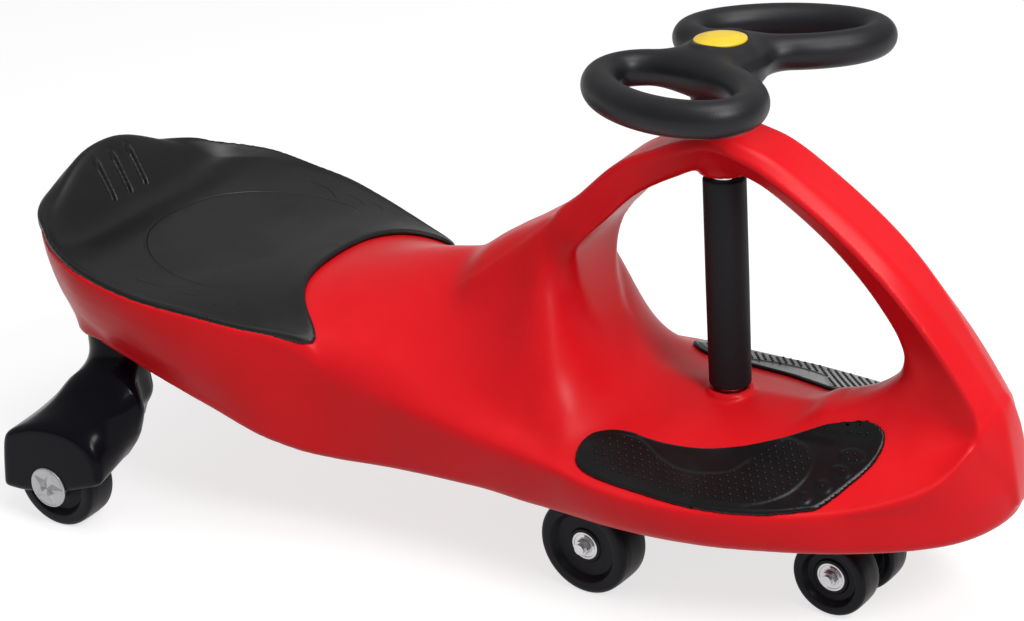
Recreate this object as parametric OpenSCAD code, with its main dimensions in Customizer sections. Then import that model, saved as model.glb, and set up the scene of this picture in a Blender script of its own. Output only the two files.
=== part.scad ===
// Wiggle car: a child's ride-on toy that moves when its steering wheel is swung from side to side.
// Millimetres. +X is forward, +Y is left, +Z is up, and the origin is on the floor under the middle.
// Heights and lengths of the moulded body are drawn from the steering column, which stands upright.

/* [Overall] */
// Length from the nose to the back of the seat
overall_length = 800; // [780:1:820]
// Width of the body where the seat is widest
body_width = 292; // [280:1:300]
// Height of the body's belly above the floor, in front
belly_z = 80; // [79:0.5:84]
// Wall of the moulded body
wall = 3.6; // [3:0.1:4.5]

/* [Steering] */
// Diameter of the steering column
column_d = 22; // [20:0.5:24]
// Diameter of the grip sleeve on the column
sleeve_d = 31; // [29:0.5:34]
// Diameter of the steering wheel's rim tube
rim_d = 25; // [22:0.5:27]
// Length of each steering wheel loop over its tube
loop_length = 158; // [150:1:166]
// Width of each steering wheel loop over its tube
loop_width = 104; // [98:1:108]
// Angle by which the front ends of the loops spread apart
loop_splay = 23; // [15:1:28]
// Height of the middle of the rim tube above the floor
rim_z = 391; // [389:0.5:396]

/* [Wheels] */
// Diameter of the two steered main wheels
front_wheel_d = 76; // [70:0.5:76]
// Width of a steered main wheel
front_wheel_w = 31; // [28:0.5:33]
// Diameter of the two small safety wheels
safety_wheel_d = 59; // [56:0.5:60]
// Width of a safety wheel
safety_wheel_w = 24; // [22:0.5:26]
// Diameter of the two rear wheels
rear_wheel_d = 76; // [72:0.5:78]
// Width of a rear wheel
rear_wheel_w = 30; // [28:0.5:31]
// Diameter of every axle
axle_d = 8; // [7:0.1:9]
// How far the safety wheels hang above the floor
safety_lift = 1.5; // [1:0.1:4]
// Angle that the steering is drawn at, with a turn to the right below zero
steer_rest = -7; // [-30:1:30]

/* [Trim] */
// Thickness of the seat
seat_t = 5; // [4:0.1:6]
// Thickness of the foot pads
pad_t = 3; // [2.5:0.1:4]
// Diameter of the cap on the steering wheel
cap_d = 37; // [35:0.5:40]
// Diameter of the cap over a rear axle
hub_cap_d = 34; // [30:0.5:35]

/* [Hidden] */
$fn = 48;

// Running clearance of a turning fit, and the gap between pieces that pass each other
run_gap = 0.05;
free_gap = 0.8;

// The body is drawn 800 long and 292 wide, and stretches with the driving dimensions
drawn_length = 800;
drawn_width = 292;
stretch_x = overall_length / drawn_length;
stretch_y = body_width / drawn_width;
nose_reach = 217 * stretch_x;
column_x = overall_length / 2 - nose_reach;

// Stations of the tub from the back to the nose, drawn from the column:
// [x, rim half width, rim height, crown height, flank, crown, bottom half width, belly height]
// The crown between the rims is rim + rise * (1 - t^flank)^crown, with t from the middle to the rim
tub_stations = [
  [-579, 30, 241, 246, 2.3, 1.5, 26, 228],
  [-574, 54, 240, 255, 2.3, 1.5, 46, 214],
  [-566, 75, 239, 264, 2.3, 1.5, 64, 199],
  [-556, 92, 237, 259, 2.4, 1.4, 79, 186],
  [-548, 101, 235, 244, 2.6, 1.2, 87, 178],
  [-541, 108, 233, 226, 3.0, 1.0, 93, 173],
  [-533, 115, 231, 214, 4.5, 1.0, 99, 168],
  [-520, 125, 228, 212, 6.0, 1.0, 108, 161],
  [-491, 139, 220, 212, 6.0, 1.0, 119, 151],
  [-457, 144, 211, 207, 5.0, 1.0, 124, 142],
  [-420, 144, 203, 201, 3.0, 1.0, 125, 128],
  [-380, 135, 194, 200, 2.0, 1.0, 122, 111],
  [-345, 125, 185, 201, 2.0, 1.0, 118, 94],
  [-311, 113, 178, 206, 2.0, 1.0, 111, 83],
  [-280, 106, 169, 211, 1.9, 1.0, 106, 80],
  [-240, 105, 157, 219, 1.9, 1.15, 104, 81],
  [-204, 107, 147, 226, 1.9, 1.4, 105, 82],
  [-175, 109, 141, 235, 2.0, 1.7, 106, 82],
  [-150, 111, 136, 246, 2.3, 2.0, 107, 82],
  [-136, 113, 133, 254, 2.6, 2.6, 108, 81],
  [-124, 114, 131, 254, 3.1, 3.4, 110, 80],
  [-117, 115, 130, 244, 3.4, 4.0, 110, 80],
  [-111, 116, 128, 221, 4.0, 4.9, 111, 80],
  [-105, 117, 127, 195, 4.6, 6.0, 111, 80],
  [-99, 118, 126, 176, 4.4, 4.8, 112, 80],
  [-92, 119, 124, 163, 3.4, 3.1, 113, 80],
  [-80, 121, 122, 154, 2.2, 1.7, 115, 80],
  [-65, 123, 119, 150, 1.5, 1.2, 117, 80],
  [-40, 126, 115, 148, 1.1, 1.0, 120, 80],
  [0, 126, 112, 146, 1.1, 1.0, 121, 80],
  [40, 120, 111, 146, 1.1, 1.0, 117, 80],
  [80, 110, 111, 148, 1.1, 1.0, 107, 80],
  [105, 101, 113, 151, 1.1, 1.05, 99, 80],
  [125, 92, 116, 154, 1.2, 1.1, 91, 80],
  [145, 82, 121, 158, 1.25, 1.1, 81, 80],
  [165, 70, 128, 161, 1.3, 1.1, 69, 80],
  [185, 54, 138, 163, 1.5, 1.1, 53, 80],
  [200, 37, 130, 154, 1.8, 1.1, 36, 81],
  [210, 24, 122, 138, 2.0, 1.0, 20, 84],
  [216, 13, 110, 118, 2.0, 1.0, 8, 92]];

// Stations of the arch from the nose over the top and down to the hump:
// [outer x, outer z, inner x, inner z, outer half width, greatest half width, inner half width]
arch_stations = [
  [214, 108, 156, 104, 10, 26, 26],
  [212, 142, 151, 146, 14, 34, 32],
  [205, 164, 148, 174, 12, 34, 28],
  [194, 183, 142, 196, 11.5, 33, 21],
  [176, 211, 134, 211, 12.5, 31, 18],
  [154, 240, 122, 227, 16, 31, 16],
  [128, 270, 105, 250, 18.5, 31, 15],
  [94, 300, 76, 278, 19.5, 31, 14],
  [51, 330, 41, 305, 21.5, 30.5, 15],
  [0, 346, 0, 321, 23, 28, 18],
  [-33, 335, -27, 311, 24, 27, 20],
  [-65, 321, -52, 298, 26, 28, 25],
  [-98, 295, -79, 276, 27, 31, 35],
  [-120, 275, -96, 258, 28, 37, 44],
  [-144, 257, -105, 240, 28, 33, 34],
  [-165, 242, -109, 222, 26, 28, 22],
  [-190, 220, -110, 204, 20, 22, 12],
  [-205, 192, -112, 175, 14, 16, 6]];

// Heights along the steering column
boss_top_z = 149.5;
sleeve_bottom_z = boss_top_z + free_gap;
sleeve_top_z = 308.6;
arch_boss_bottom_z = 312;
arch_top_z = max([for (s = arch_stations) s[1]]);
column_r = column_d / 2;
yoke_top_z = belly_z - 3;
yoke_bottom_z = 44;
flange_t = 1.5;
thrust_t = belly_z - flange_t - yoke_top_z - 0.2;
lower_bush_r = column_r + 3;
lower_bush_h = 40;
upper_bush_r = column_r + 2.5;
hub_bottom_z = arch_top_z + 3;
hub_top_z = rim_z + 15;
column_top_z = rim_z - 8;
bolt_r = 4;
recess_r = cap_d / 2 - 3.5;

// Axles of the wheels
front_axle_x = column_x - 73.6;
front_axle_z = front_wheel_d / 2;
front_wheel_y = 78;
safety_axle_x = column_x + 97;
safety_axle_z = safety_wheel_d / 2 + safety_lift;
safety_wheel_y = 21;
rear_axle_x = column_x - 524 * stretch_x;
rear_axle_z = rear_wheel_d / 2;
rear_cap_y = 165;
hub_cap_t = 1.6;
plate_t = 5;
plate_outer_y = rear_cap_y - hub_cap_t;
plate_inner_y = plate_outer_y - plate_t;
rear_wheel_y = plate_inner_y - 0.8 - rear_wheel_w / 2;
axle_r = axle_d / 2;
bearing_r = 11;
bearing_w = 7;
dish = 4;
washer_t = 1.4;
nut_r = 6;
nut_h = 4.5;

// Rear arm: an upright post, with a hood over the wheel between an inner cheek and an outer plate
post_x = column_x - 491 * stretch_x;
post_y = 94;
post_r = 23;
post_top_z = 198;
socket_bottom_z = 158;
socket_r = post_r + 5;
arm_bolt_r = 4;
arm_bolt_head_r = 8;
arm_floor_z = 88;
cheek_t = 13;
well_gap = 4;
cheek_outer_y = rear_wheel_y - rear_wheel_w / 2 - washer_t - 0.4;
cheek_inner_y = cheek_outer_y - cheek_t;
sweep_outer_y = cheek_outer_y + 14;

// Pegs that hold the seat and the pads: [x from the column, y]
seat_pegs = [[-400, 70], [-400, -70], [-500, 70], [-500, -70]];
pad_pegs = [[-40, 92], [25, 90], [85, 62]];
peg_r = 4;
peg_h = 12;

// Drain holes along the belly, from the column
drain_places = [-300, -190, 60, 140];
drain_r = 5;

red = [0.85, 0.10, 0.13];
black = [0.06, 0.06, 0.07];
rubber = [0.13, 0.13, 0.15];
steel = [0.75, 0.76, 0.78];
yellow = [0.95, 0.80, 0.10];

function mix(a, b, f) = a + (b - a) * f;
function smooth(f) = f * f * (3 - 2 * f);

// Ring of points around one tub station, drawn in by a wall, first the crown and then the sides and belly.
// Inside, the crown keeps under its neighbours too, so a steep front has a full wall.
crown_steps = 9;
function crown_z(s, t) = s[2] + (s[3] - s[2]) * pow(1 - pow(min(t, 1), s[4]), s[5]);
function under_crown_z(s, t, g) =
  g > 0 ? min([for (d = [-g, 0, g]) crown_z(station_at(s[0] + d), t)]) - g * 1.25 : crown_z(s, t);
function half_ring(s, g) =
  let (w = s[1] * stretch_y - g, b = s[6] * stretch_y - g, belly = s[7] + belly_z - 80 + g)
  concat(
    [for (i = [0:crown_steps]) let (t = i / crown_steps) [w * t, under_crown_z(s, t, g)]],
    [[mix(w, b, 0.12) + 0.6, mix(s[2] - g, belly, 0.25)],
     [mix(w, b, 0.55) + 1, mix(s[2] - g, belly, 0.62)],
     [b, mix(s[2] - g, belly, 0.88)],
     [b - 1, mix(s[2] - g, belly, 0.96)],
     [b * 0.96 - 1, belly],
     [b * 0.5, belly]]);
function tub_ring(s, g) =
  let (half = half_ring(s, g), n = len(half), x = column_x + s[0] * stretch_x)
  concat(
    [for (p = half) [x, p[0], p[1]]],
    [[x, 0, s[7] + belly_z - 80 + g]],
    [for (i = [n - 1:-1:1]) [x, -half[i][0], half[i][1]]]);

// Ring of points around one arch station: an eight-sided section, drawn in by a wall
function arch_ring(s, g) =
  let (o = [s[0], s[1]], i = [s[2], s[3]], d = (i - o) / norm(i - o), a = o + d * g, c = i - d * g)
  let (outer = max(s[4] - g * 0.7, 4), wide = s[5] - g, inner = max(s[6] - g * 0.7, 4))
  let (m = mix(a, c, 0.35), k = mix(a, c, 0.6), x = column_x)
  [[x + a[0], outer, a[1]], [x + m[0], wide, m[1]], [x + k[0], wide * 0.95, k[1]], [x + c[0], inner, c[1]],
   [x + c[0], -inner, c[1]], [x + k[0], -wide * 0.95, k[1]], [x + m[0], -wide, m[1]], [x + a[0], -outer, a[1]]];

// Stations put between the drawn ones along a smooth curve
function curve(a, b, c, d, f) =
  0.5 * (2 * b + (c - a) * f + (2 * a - 5 * b + 4 * c - d) * f * f + (3 * b - a - 3 * c + d) * f * f * f);
function refine(list, steps) =
  let (last = len(list) - 1)
  concat(
    [for (i = [0:last - 1], k = [0:steps - 1])
      curve(list[max(i - 1, 0)], list[i], list[i + 1], list[min(i + 2, last)], k / steps)],
    [list[last]]);

// Solid through a list of rings with the same number of points
module loft(rings) {
  n = len(rings[0]);
  m = len(rings);
  sides = [for (j = [0:m - 2], i = [0:n - 1]) let (a = j * n + i, b = j * n + (i + 1) % n)
    each [[a, b, a + n], [b, b + n, a + n]]];
  ends = [[for (i = [n - 1:-1:0]) i], [for (i = [0:n - 1]) (m - 1) * n + i]];
  polyhedron(points = [for (r = rings) each r], faces = concat(sides, ends));
}

module tub(g) {
  stations = g > 0 ? [for (i = [2:len(tub_stations) - 3]) tub_stations[i]] : tub_stations;
  loft([for (s = stations) tub_ring(s, g)]);
}

module arch(g) {
  fine = refine(arch_stations, 3);
  stations = g > 0 ? [for (i = [4:len(fine) - 4]) fine[i]] : fine;
  loft([for (i = [len(stations) - 1:-1:0]) arch_ring(stations[i], g)]);
}

// Everything that turns with the column, at the angle it is drawn at
module steered() {
  translate([column_x, 0, 0]) rotate([0, 0, steer_rest]) translate([-column_x, 0, 0]) children();
}

module upright(x, y, z0, z1, r) {
  translate([x, y, z0]) cylinder(h = z1 - z0, r = r);
}

// Cylinder along Y between two sides
module across(x, z, y0, y1, r) {
  translate([x, y0, z]) rotate([-90, 0, 0]) cylinder(h = y1 - y0, r = r);
}

// Every peg hole of the body, in the seat deck and in both halves of the floor pan
module peg_hole(x, y) {
  z = deck_z(x, y);
  upright(column_x + x * stretch_x, y * stretch_y, z - 2 * peg_h, z + 2 * peg_h, peg_r);
}

module peg_holes() {
  for (p = seat_pegs)
    peg_hole(p[0], p[1]);
  for (p = pad_pegs, side = [-1, 1])
    peg_hole(p[0], side * p[1]);
}

// Holes along the belly that let water out of the hollow body
module drain_holes() {
  for (x = drain_places)
    upright(column_x + x * stretch_x, 0, belly_z - 4 * wall, belly_z + 4 * wall, drain_r, $fn = 24);
}

// One-piece hollow moulding: tub, hump and arch, with bosses for the column and sockets for the rear arms
module body_shell() {
  color(red) difference() {
    union() {
      resize([0, 0, 0]) difference() {
        union() { tub(0); arch(0); }
        tub(wall);
        arch(wall);
        drain_holes();
      }
      upright(column_x, 0, belly_z, boss_top_z, sleeve_d / 2 + 3);
      upright(column_x, 0, arch_boss_bottom_z, arch_top_z - 1, upper_bush_r + 3.5);
      for (side = [-1, 1])
        upright(post_x, side * post_y, socket_bottom_z, post_top_z + 8, socket_r);
    }
    upright(column_x, 0, belly_z - 5, belly_z + lower_bush_h, lower_bush_r);
    upright(column_x, 0, belly_z, arch_top_z + 5, column_r + 1);
    upright(column_x, 0, arch_boss_bottom_z - 1, arch_top_z + 5, upper_bush_r);
    for (side = [-1, 1]) {
      upright(post_x, side * post_y, 100, post_top_z, post_r);
      upright(post_x, side * post_y, post_top_z - 1, post_top_z + 6, arm_bolt_r);
    }
    peg_holes();
  }
}

// Deck height of the body under the seat and the pads, at a point drawn from the column
function station_after(x) = max([1, for (i = [1:len(tub_stations) - 1]) if (tub_stations[i - 1][0] < x) i]);
function station_at(x) =
  let (i = station_after(x), a = tub_stations[i - 1], b = tub_stations[i])
  mix(a, b, (x - a[0]) / (b[0] - a[0]));
function deck_z(x, y) = let (s = station_at(x)) crown_z(s, abs(y) / s[1]);

// Seat: a shell that lies on the deck behind the hump, with a raised rim and a high back.
// Its front edge is hollowed, so it is drawn in strips from tip to tip across the body.
seat_front = -287;
seat_hollow = 57;
seat_back = -580.5;
seat_steps = 22;
seat_across = 12;
function seat_x(f, u) = mix(seat_front - seat_hollow * (1 - u * u), seat_back - 1.5, f);
function seat_half(x) = let (s = station_at(max(x, seat_back + 2))) s[1] + 1.5;
function rim_lift(u) = 5 * smooth(max(0, (abs(u) - 0.84) / 0.16));
function seat_top(x, u) = deck_z(max(x, seat_back + 2), u * station_at(max(x, seat_back + 2))[1]) + seat_t;
function seat_point(f, u, h) =
  let (x = seat_x(f, u), lift = h > 0 ? rim_lift(u) + seat_t : 0.02)
  [column_x + x * stretch_x, u * seat_half(x) * stretch_y, seat_top(x, u) - seat_t + lift];

// Closed sheet between a lower and an upper grid of points, each given row by row with y growing along a row
module sheet(grids) {
  rows = len(grids[0]);
  cols = len(grids[0][0]);
  half = rows * cols;
  points = [for (grid = grids, row = grid) each row];
  top = [for (j = [0:rows - 2], i = [0:cols - 2]) let (a = half + j * cols + i)
    each [[a, a + cols, a + 1], [a + 1, a + cols, a + cols + 1]]];
  bottom = [for (j = [0:rows - 2], i = [0:cols - 2]) let (a = j * cols + i)
    each [[a, a + 1, a + cols], [a + 1, a + cols + 1, a + cols]]];
  edge = concat([for (i = [0:cols - 1]) i],
    [for (j = [1:rows - 1]) j * cols + cols - 1],
    [for (i = [cols - 2:-1:0]) (rows - 1) * cols + i],
    [for (j = [rows - 2:-1:1]) j * cols]);
  n = len(edge);
  walls = [for (k = [0:n - 1]) let (a = edge[k], b = edge[(k + 1) % n])
    each [[a, a + half, b], [b, a + half, b + half]]];
  polyhedron(points = points, faces = concat(top, bottom, walls));
}

module seat_sheet() {
  sheet([for (h = [0, 1]) [for (j = [0:seat_steps])
    [for (i = [-seat_across:seat_across]) seat_point(j / seat_steps, i / seat_across, h)]]]);
}

module seat() {
  color(black) union() {
    seat_sheet();
    for (p = seat_pegs)
      let (z = deck_z(p[0], p[1]))
        upright(column_x + p[0] * stretch_x, p[1] * stretch_y, z - peg_h, z + seat_t / 2, peg_r);
  }
}

// Foot pad: a kidney-shaped plate on the slope of the floor pan, heel behind and toes in front.
// Each row goes from the inner edge to the outer edge: [x from the column, inner y, outer y]
pad_rows = [[-73.5, 96, 101], [-71, 87, 109], [-66, 80, 113], [-59, 74, 117], [-45, 70, 119], [-20, 71, 121],
  [12, 67, 122], [36, 57, 120], [56, 45, 116], [71, 32, 112], [86, 21, 106], [98, 16, 100], [107, 14, 94],
  [114, 15, 83], [121, 18, 70], [127, 24, 59], [131, 34, 44]];
pad_across = 6;
function pad_point(row, f, h) =
  let (x = row[0], y = mix(row[1], min(row[2], station_at(x)[1] - 3), f))
  [column_x + x * stretch_x, y * stretch_y, deck_z(x, y) + (h > 0 ? pad_t : 0.02)];

module pad_sheet() {
  fine = refine(pad_rows, 2);
  sheet([for (h = [0, 1]) [for (j = [len(fine) - 1:-1:0])
    [for (i = [0:pad_across]) pad_point(fine[j], i / pad_across, h)]]]);
}

module foot_pad() {
  color(black) union() {
    pad_sheet();
    for (p = pad_pegs)
      let (z = deck_z(p[0], p[1]))
        upright(column_x + p[0] * stretch_x, p[1] * stretch_y, z - peg_h, z + pad_t / 2, peg_r);
  }
}

module foot_pad_left() {
  foot_pad();
}

module foot_pad_right() {
  mirror([0, 1, 0]) foot_pad();
}

// Steering wheel: two splayed loops of thick tube, joined at a domed hub on the column
loop_r = (loop_width - rim_d) / 2;
loop_straight = loop_length - loop_width;
loop_place = [column_x + 7.5, loop_width / 2 + 19.5, rim_z];

module loop() {
  tube_r = rim_d / 2;
  translate(loop_place) rotate([0, 0, loop_splay]) {
    for (end = [-1, 1])
      translate([end * loop_straight / 2, 0, 0]) rotate([0, 0, end * 90 - 180])
        rotate_extrude(angle = 180) translate([loop_r, 0]) circle(r = tube_r);
    for (side = [-1, 1])
      translate([-loop_straight / 2, side * loop_r, 0]) rotate([0, 90, 0])
        cylinder(h = loop_straight, r = tube_r);
  }
}

module steering_wheel() {
  color(black) steered() difference() {
    union() {
      loop();
      mirror([0, 1, 0]) loop();
      translate([column_x, 0, 0]) rotate_extrude()
        polygon([[0, hub_bottom_z], [20, hub_bottom_z], [22, rim_z - 22], [34, rim_z - 8], [35, rim_z + 2],
          [30, rim_z + 10], [cap_d / 2 + 1, hub_top_z], [0, hub_top_z]]);
    }
    upright(column_x, 0, hub_bottom_z - 1, column_top_z, column_r);
    upright(column_x, 0, column_top_z - 1, hub_top_z + 1, bolt_r + 0.3);
    upright(column_x, 0, rim_z + 2, hub_top_z + 1, recess_r);
  }
}

// Domed cap that plugs the recess over the bolt
module steering_wheel_cap() {
  color(yellow) translate([column_x, 0, 0]) rotate_extrude()
    polygon([[0, hub_top_z - 3], [recess_r, hub_top_z - 3], [recess_r, hub_top_z], [cap_d / 2, hub_top_z],
      [cap_d / 2, hub_top_z + 2], [cap_d / 2 - 1, hub_top_z + 3], [cap_d / 4, hub_top_z + 4.4],
      [0, hub_top_z + 5]]);
}

module hex_prism(x, y, z0, z1, r) {
  translate([x, y, z0]) cylinder(h = z1 - z0, r = r, $fn = 6);
}

// Bolt that clamps the steering wheel down on the end of the column, and its washer
bolt_seat_z = rim_z + 2;
module steering_wheel_bolt() {
  color(steel) steered() union() {
    upright(column_x, 0, column_top_z - 24, bolt_seat_z + washer_t + 0.1, bolt_r);
    hex_prism(column_x, 0, bolt_seat_z + washer_t, bolt_seat_z + washer_t + 5.5, 7.5);
  }
}

module steering_wheel_washer() {
  color(steel) difference() {
    upright(column_x, 0, bolt_seat_z, bolt_seat_z + washer_t, 11);
    upright(column_x, 0, bolt_seat_z - 1, bolt_seat_z + washer_t + 1, bolt_r + 0.3);
  }
}

// Column: a steel tube, plugged and threaded at the top, cross-drilled for the yoke pin at the bottom
column_bottom_z = yoke_bottom_z + 2;
pin_r = 3;
pin_z = 60;
module steering_column() {
  color(steel) steered() difference() {
    upright(column_x, 0, column_bottom_z, column_top_z, column_r);
    upright(column_x, 0, column_bottom_z - 1, column_top_z - 40, column_r - 2.5);
    upright(column_x, 0, column_top_z - 25, column_top_z + 1, bolt_r);
    across(column_x, pin_z, -column_r - 1, column_r + 1, pin_r);
  }
}

// Grip sleeve that covers the column between the floor and the arch
module column_sleeve() {
  edge = 2;
  color(black) translate([column_x, 0, 0]) rotate_extrude()
    polygon([[column_r, sleeve_bottom_z], [sleeve_d / 2 - edge, sleeve_bottom_z],
      [sleeve_d / 2, sleeve_bottom_z + edge], [sleeve_d / 2, sleeve_top_z - edge],
      [sleeve_d / 2 - edge, sleeve_top_z], [column_r, sleeve_top_z]]);
}

// Bushes that the column turns in
module upper_bush() {
  color(black) difference() {
    upright(column_x, 0, arch_boss_bottom_z, arch_top_z - 0.5, upper_bush_r);
    upright(column_x, 0, arch_boss_bottom_z - 1, arch_top_z + 1, column_r + run_gap);
  }
}

module lower_bush() {
  color(black) difference() {
    union() {
      upright(column_x, 0, belly_z - flange_t, belly_z + lower_bush_h, lower_bush_r);
      upright(column_x, 0, belly_z - flange_t, belly_z, lower_bush_r + 4);
    }
    upright(column_x, 0, belly_z - flange_t - 1, belly_z + lower_bush_h + 1, column_r + run_gap);
  }
}

// Washer that carries the body's weight on the yoke
module thrust_washer() {
  color(steel) difference() {
    upright(column_x, 0, yoke_top_z, yoke_top_z + thrust_t, lower_bush_r + 4);
    upright(column_x, 0, yoke_top_z - 1, yoke_top_z + thrust_t + 1, column_r + 0.2);
  }
}

// Yoke: hub under the belly, a bar back to the main axle and a narrow blade forward to the safety axle
yoke_hub_r = 21;
yoke_bar_w = 34;
yoke_bar_z0 = 48;
yoke_bar_z1 = 66;
blade_w = 13;
axle_tube_r = 9;
axle_tube_y = front_wheel_y - front_wheel_w / 2 - washer_t - 1;
module front_yoke() {
  blade_x = safety_axle_x - column_x;
  color(black) steered() difference() {
    union() {
      upright(column_x, 0, yoke_bottom_z, yoke_top_z, yoke_hub_r);
      translate([front_axle_x, -yoke_bar_w / 2, yoke_bar_z0])
        cube([column_x - front_axle_x, yoke_bar_w, yoke_bar_z1 - yoke_bar_z0]);
      translate([front_axle_x - 12, -axle_tube_y + 8, front_axle_z])
        cube([24, 2 * axle_tube_y - 16, yoke_bar_z1 - 4 - front_axle_z]);
      across(front_axle_x, front_axle_z, -axle_tube_y, axle_tube_y, axle_tube_r);
      translate([column_x, blade_w / 2, 0]) rotate([90, 0, 0]) linear_extrude(blade_w)
        polygon([[0, yoke_bar_z0], [blade_x - 14, safety_axle_z - 2], [blade_x, safety_axle_z],
          [blade_x + 4, safety_axle_z + 10], [blade_x - 30, yoke_bar_z1], [0, yoke_bar_z1]]);
      across(safety_axle_x, safety_axle_z, -blade_w / 2, blade_w / 2, axle_tube_r + 1);
    }
    upright(column_x, 0, column_bottom_z, yoke_top_z + 1, column_r);
    across(column_x, pin_z, -yoke_hub_r - 1, yoke_hub_r + 1, pin_r);
    across(front_axle_x, front_axle_z, -axle_tube_y - 1, axle_tube_y + 1, axle_r);
    across(safety_axle_x, safety_axle_z, -blade_w, blade_w, axle_r);
  }
}

module yoke_pin() {
  color(steel) steered() across(column_x, pin_z, -yoke_hub_r - 1, yoke_hub_r + 1, pin_r);
}

// Wheel with dished faces around its bearing seats, drawn about its own middle with the axle along Y
module wheel(d, w) {
  r = d / 2;
  half = w / 2;
  edge = 5;
  face = half - dish;
  well = face - 1.8;
  outer = [[bearing_r - 3, face - bearing_w], [bearing_r, face - bearing_w], [bearing_r, face - 0.3],
    [bearing_r + 2, face - 0.3], [bearing_r + 3, well], [r * 0.64, well], [r * 0.74, half], [r - edge, half],
    [r - edge * 0.3, half - edge * 0.3], [r, half - edge]];
  last = len(outer) - 1;
  rotate([-90, 0, 0]) rotate_extrude()
    polygon(concat(outer, [for (i = [last:-1:0]) [outer[i][0], -outer[i][1]]]));
}

// The two bearings of a wheel, in their seats
module bearing_pair(w) {
  seat_y = bearing_face(w) - bearing_w;
  for (y = [-seat_y - bearing_w, seat_y])
    translate([0, y, 0]) rotate([-90, 0, 0]) difference() {
      cylinder(h = bearing_w, r = bearing_r);
      translate([0, 0, -1]) cylinder(h = bearing_w + 2, r = axle_r + run_gap);
    }
}

module washer(y0, y1) {
  difference() {
    across(0, 0, y0, y1, axle_r + 2.2);
    across(0, 0, y0 - 1, y1 + 1, axle_r);
  }
}

module nut(y0) {
  difference() {
    translate([0, y0, 0]) rotate([-90, 0, 0]) cylinder(h = nut_h, r = nut_r, $fn = 6);
    across(0, 0, y0 - 1, y0 + nut_h + 1, axle_r);
  }
}

// Steered main wheels on one through axle
module at_front(side) {
  translate([front_axle_x, side * front_wheel_y, front_axle_z]) children();
}

// A bearing's outer face, the spacer that runs from the carrier to the inner bearing, and the nut outside
function bearing_face(w) = w / 2 - dish;
front_nut_y = bearing_face(front_wheel_w) + 0.3;
front_axle_end = front_wheel_y + front_nut_y + nut_h + 2.5;

module front_axle() {
  color(steel) steered() across(front_axle_x, front_axle_z, -front_axle_end, front_axle_end, axle_r);
}

module front_wheel_left() {
  color(rubber) steered() at_front(1) wheel(front_wheel_d, front_wheel_w);
}

module front_wheel_right() {
  color(rubber) steered() at_front(-1) wheel(front_wheel_d, front_wheel_w);
}

module front_bearings_left() {
  color(steel) steered() at_front(1) bearing_pair(front_wheel_w);
}

module front_bearings_right() {
  color(steel) steered() at_front(-1) bearing_pair(front_wheel_w);
}

module front_spacers() {
  color(steel) steered() for (side = [0, 1]) mirror([0, side, 0])
    at_front(1) washer(axle_tube_y - front_wheel_y, -bearing_face(front_wheel_w) - 0.3);
}

module front_nuts() {
  color(steel) steered() for (side = [0, 1]) mirror([0, side, 0]) at_front(1) nut(front_nut_y);
}

// Small safety wheels, one on each side of the yoke's blade
module at_safety(side) {
  translate([safety_axle_x, side * safety_wheel_y, safety_axle_z]) children();
}

safety_nut_y = bearing_face(safety_wheel_w) + 0.3;
safety_axle_end = safety_wheel_y + safety_nut_y + nut_h + 2;

module safety_axle() {
  color(steel) steered() across(safety_axle_x, safety_axle_z, -safety_axle_end, safety_axle_end, axle_r);
}

module safety_wheel_left() {
  color(rubber) steered() at_safety(1) wheel(safety_wheel_d, safety_wheel_w);
}

module safety_wheel_right() {
  color(rubber) steered() at_safety(-1) wheel(safety_wheel_d, safety_wheel_w);
}

module safety_bearings_left() {
  color(steel) steered() at_safety(1) bearing_pair(safety_wheel_w);
}

module safety_bearings_right() {
  color(steel) steered() at_safety(-1) bearing_pair(safety_wheel_w);
}

module safety_spacers() {
  color(steel) steered() for (side = [0, 1]) mirror([0, side, 0])
    at_safety(1) washer(blade_w / 2 - safety_wheel_y, -bearing_face(safety_wheel_w) - 0.3);
}

module safety_nuts() {
  color(steel) steered() for (side = [0, 1]) mirror([0, side, 0]) at_safety(1) nut(safety_nut_y);
}

// Side outlines of the arm: the round hood over the wheel, the sweep behind it that rises to the shoulder,
// and the shoulder that joins them to the post
hood_reach = rear_wheel_d / 2 + well_gap + 10;
hood_floor_z = 30;
hood_outline = concat(
  [for (a = [0:10:170]) [rear_axle_x + hood_reach * cos(a), rear_axle_z + hood_reach * sin(a)]],
  [[rear_axle_x - hood_reach, 44], [rear_axle_x - hood_reach, hood_floor_z - 1],
   [rear_axle_x - hood_reach + 3, hood_floor_z - 4], [rear_axle_x, hood_floor_z],
   [rear_axle_x + hood_reach - 3, hood_floor_z + 2]]);
sweep_outline = [[post_x + 30, 108], [post_x + 36, 96], [post_x + 18, 60], [rear_axle_x + 36, 42],
  [rear_axle_x, hood_floor_z], [rear_axle_x - hood_reach + 3, hood_floor_z - 4],
  [rear_axle_x - hood_reach, hood_floor_z - 1], [rear_axle_x - hood_reach, 62],
  [rear_axle_x - hood_reach + 6, 72], [post_x - 20, 120], [post_x + 20, 120]];
shoulder_outline = [[post_x + 24, 108], [post_x + 26, 96], [post_x + 20, 72], [post_x - 16, 66],
  [post_x - 30, 74], [post_x - 34, 110], [post_x - 20, 120], [post_x + 20, 120]];

module side_plate(outline, y0, y1) {
  translate([0, y1, 0]) rotate([90, 0, 0]) linear_extrude(y1 - y0) polygon(outline);
}

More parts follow.
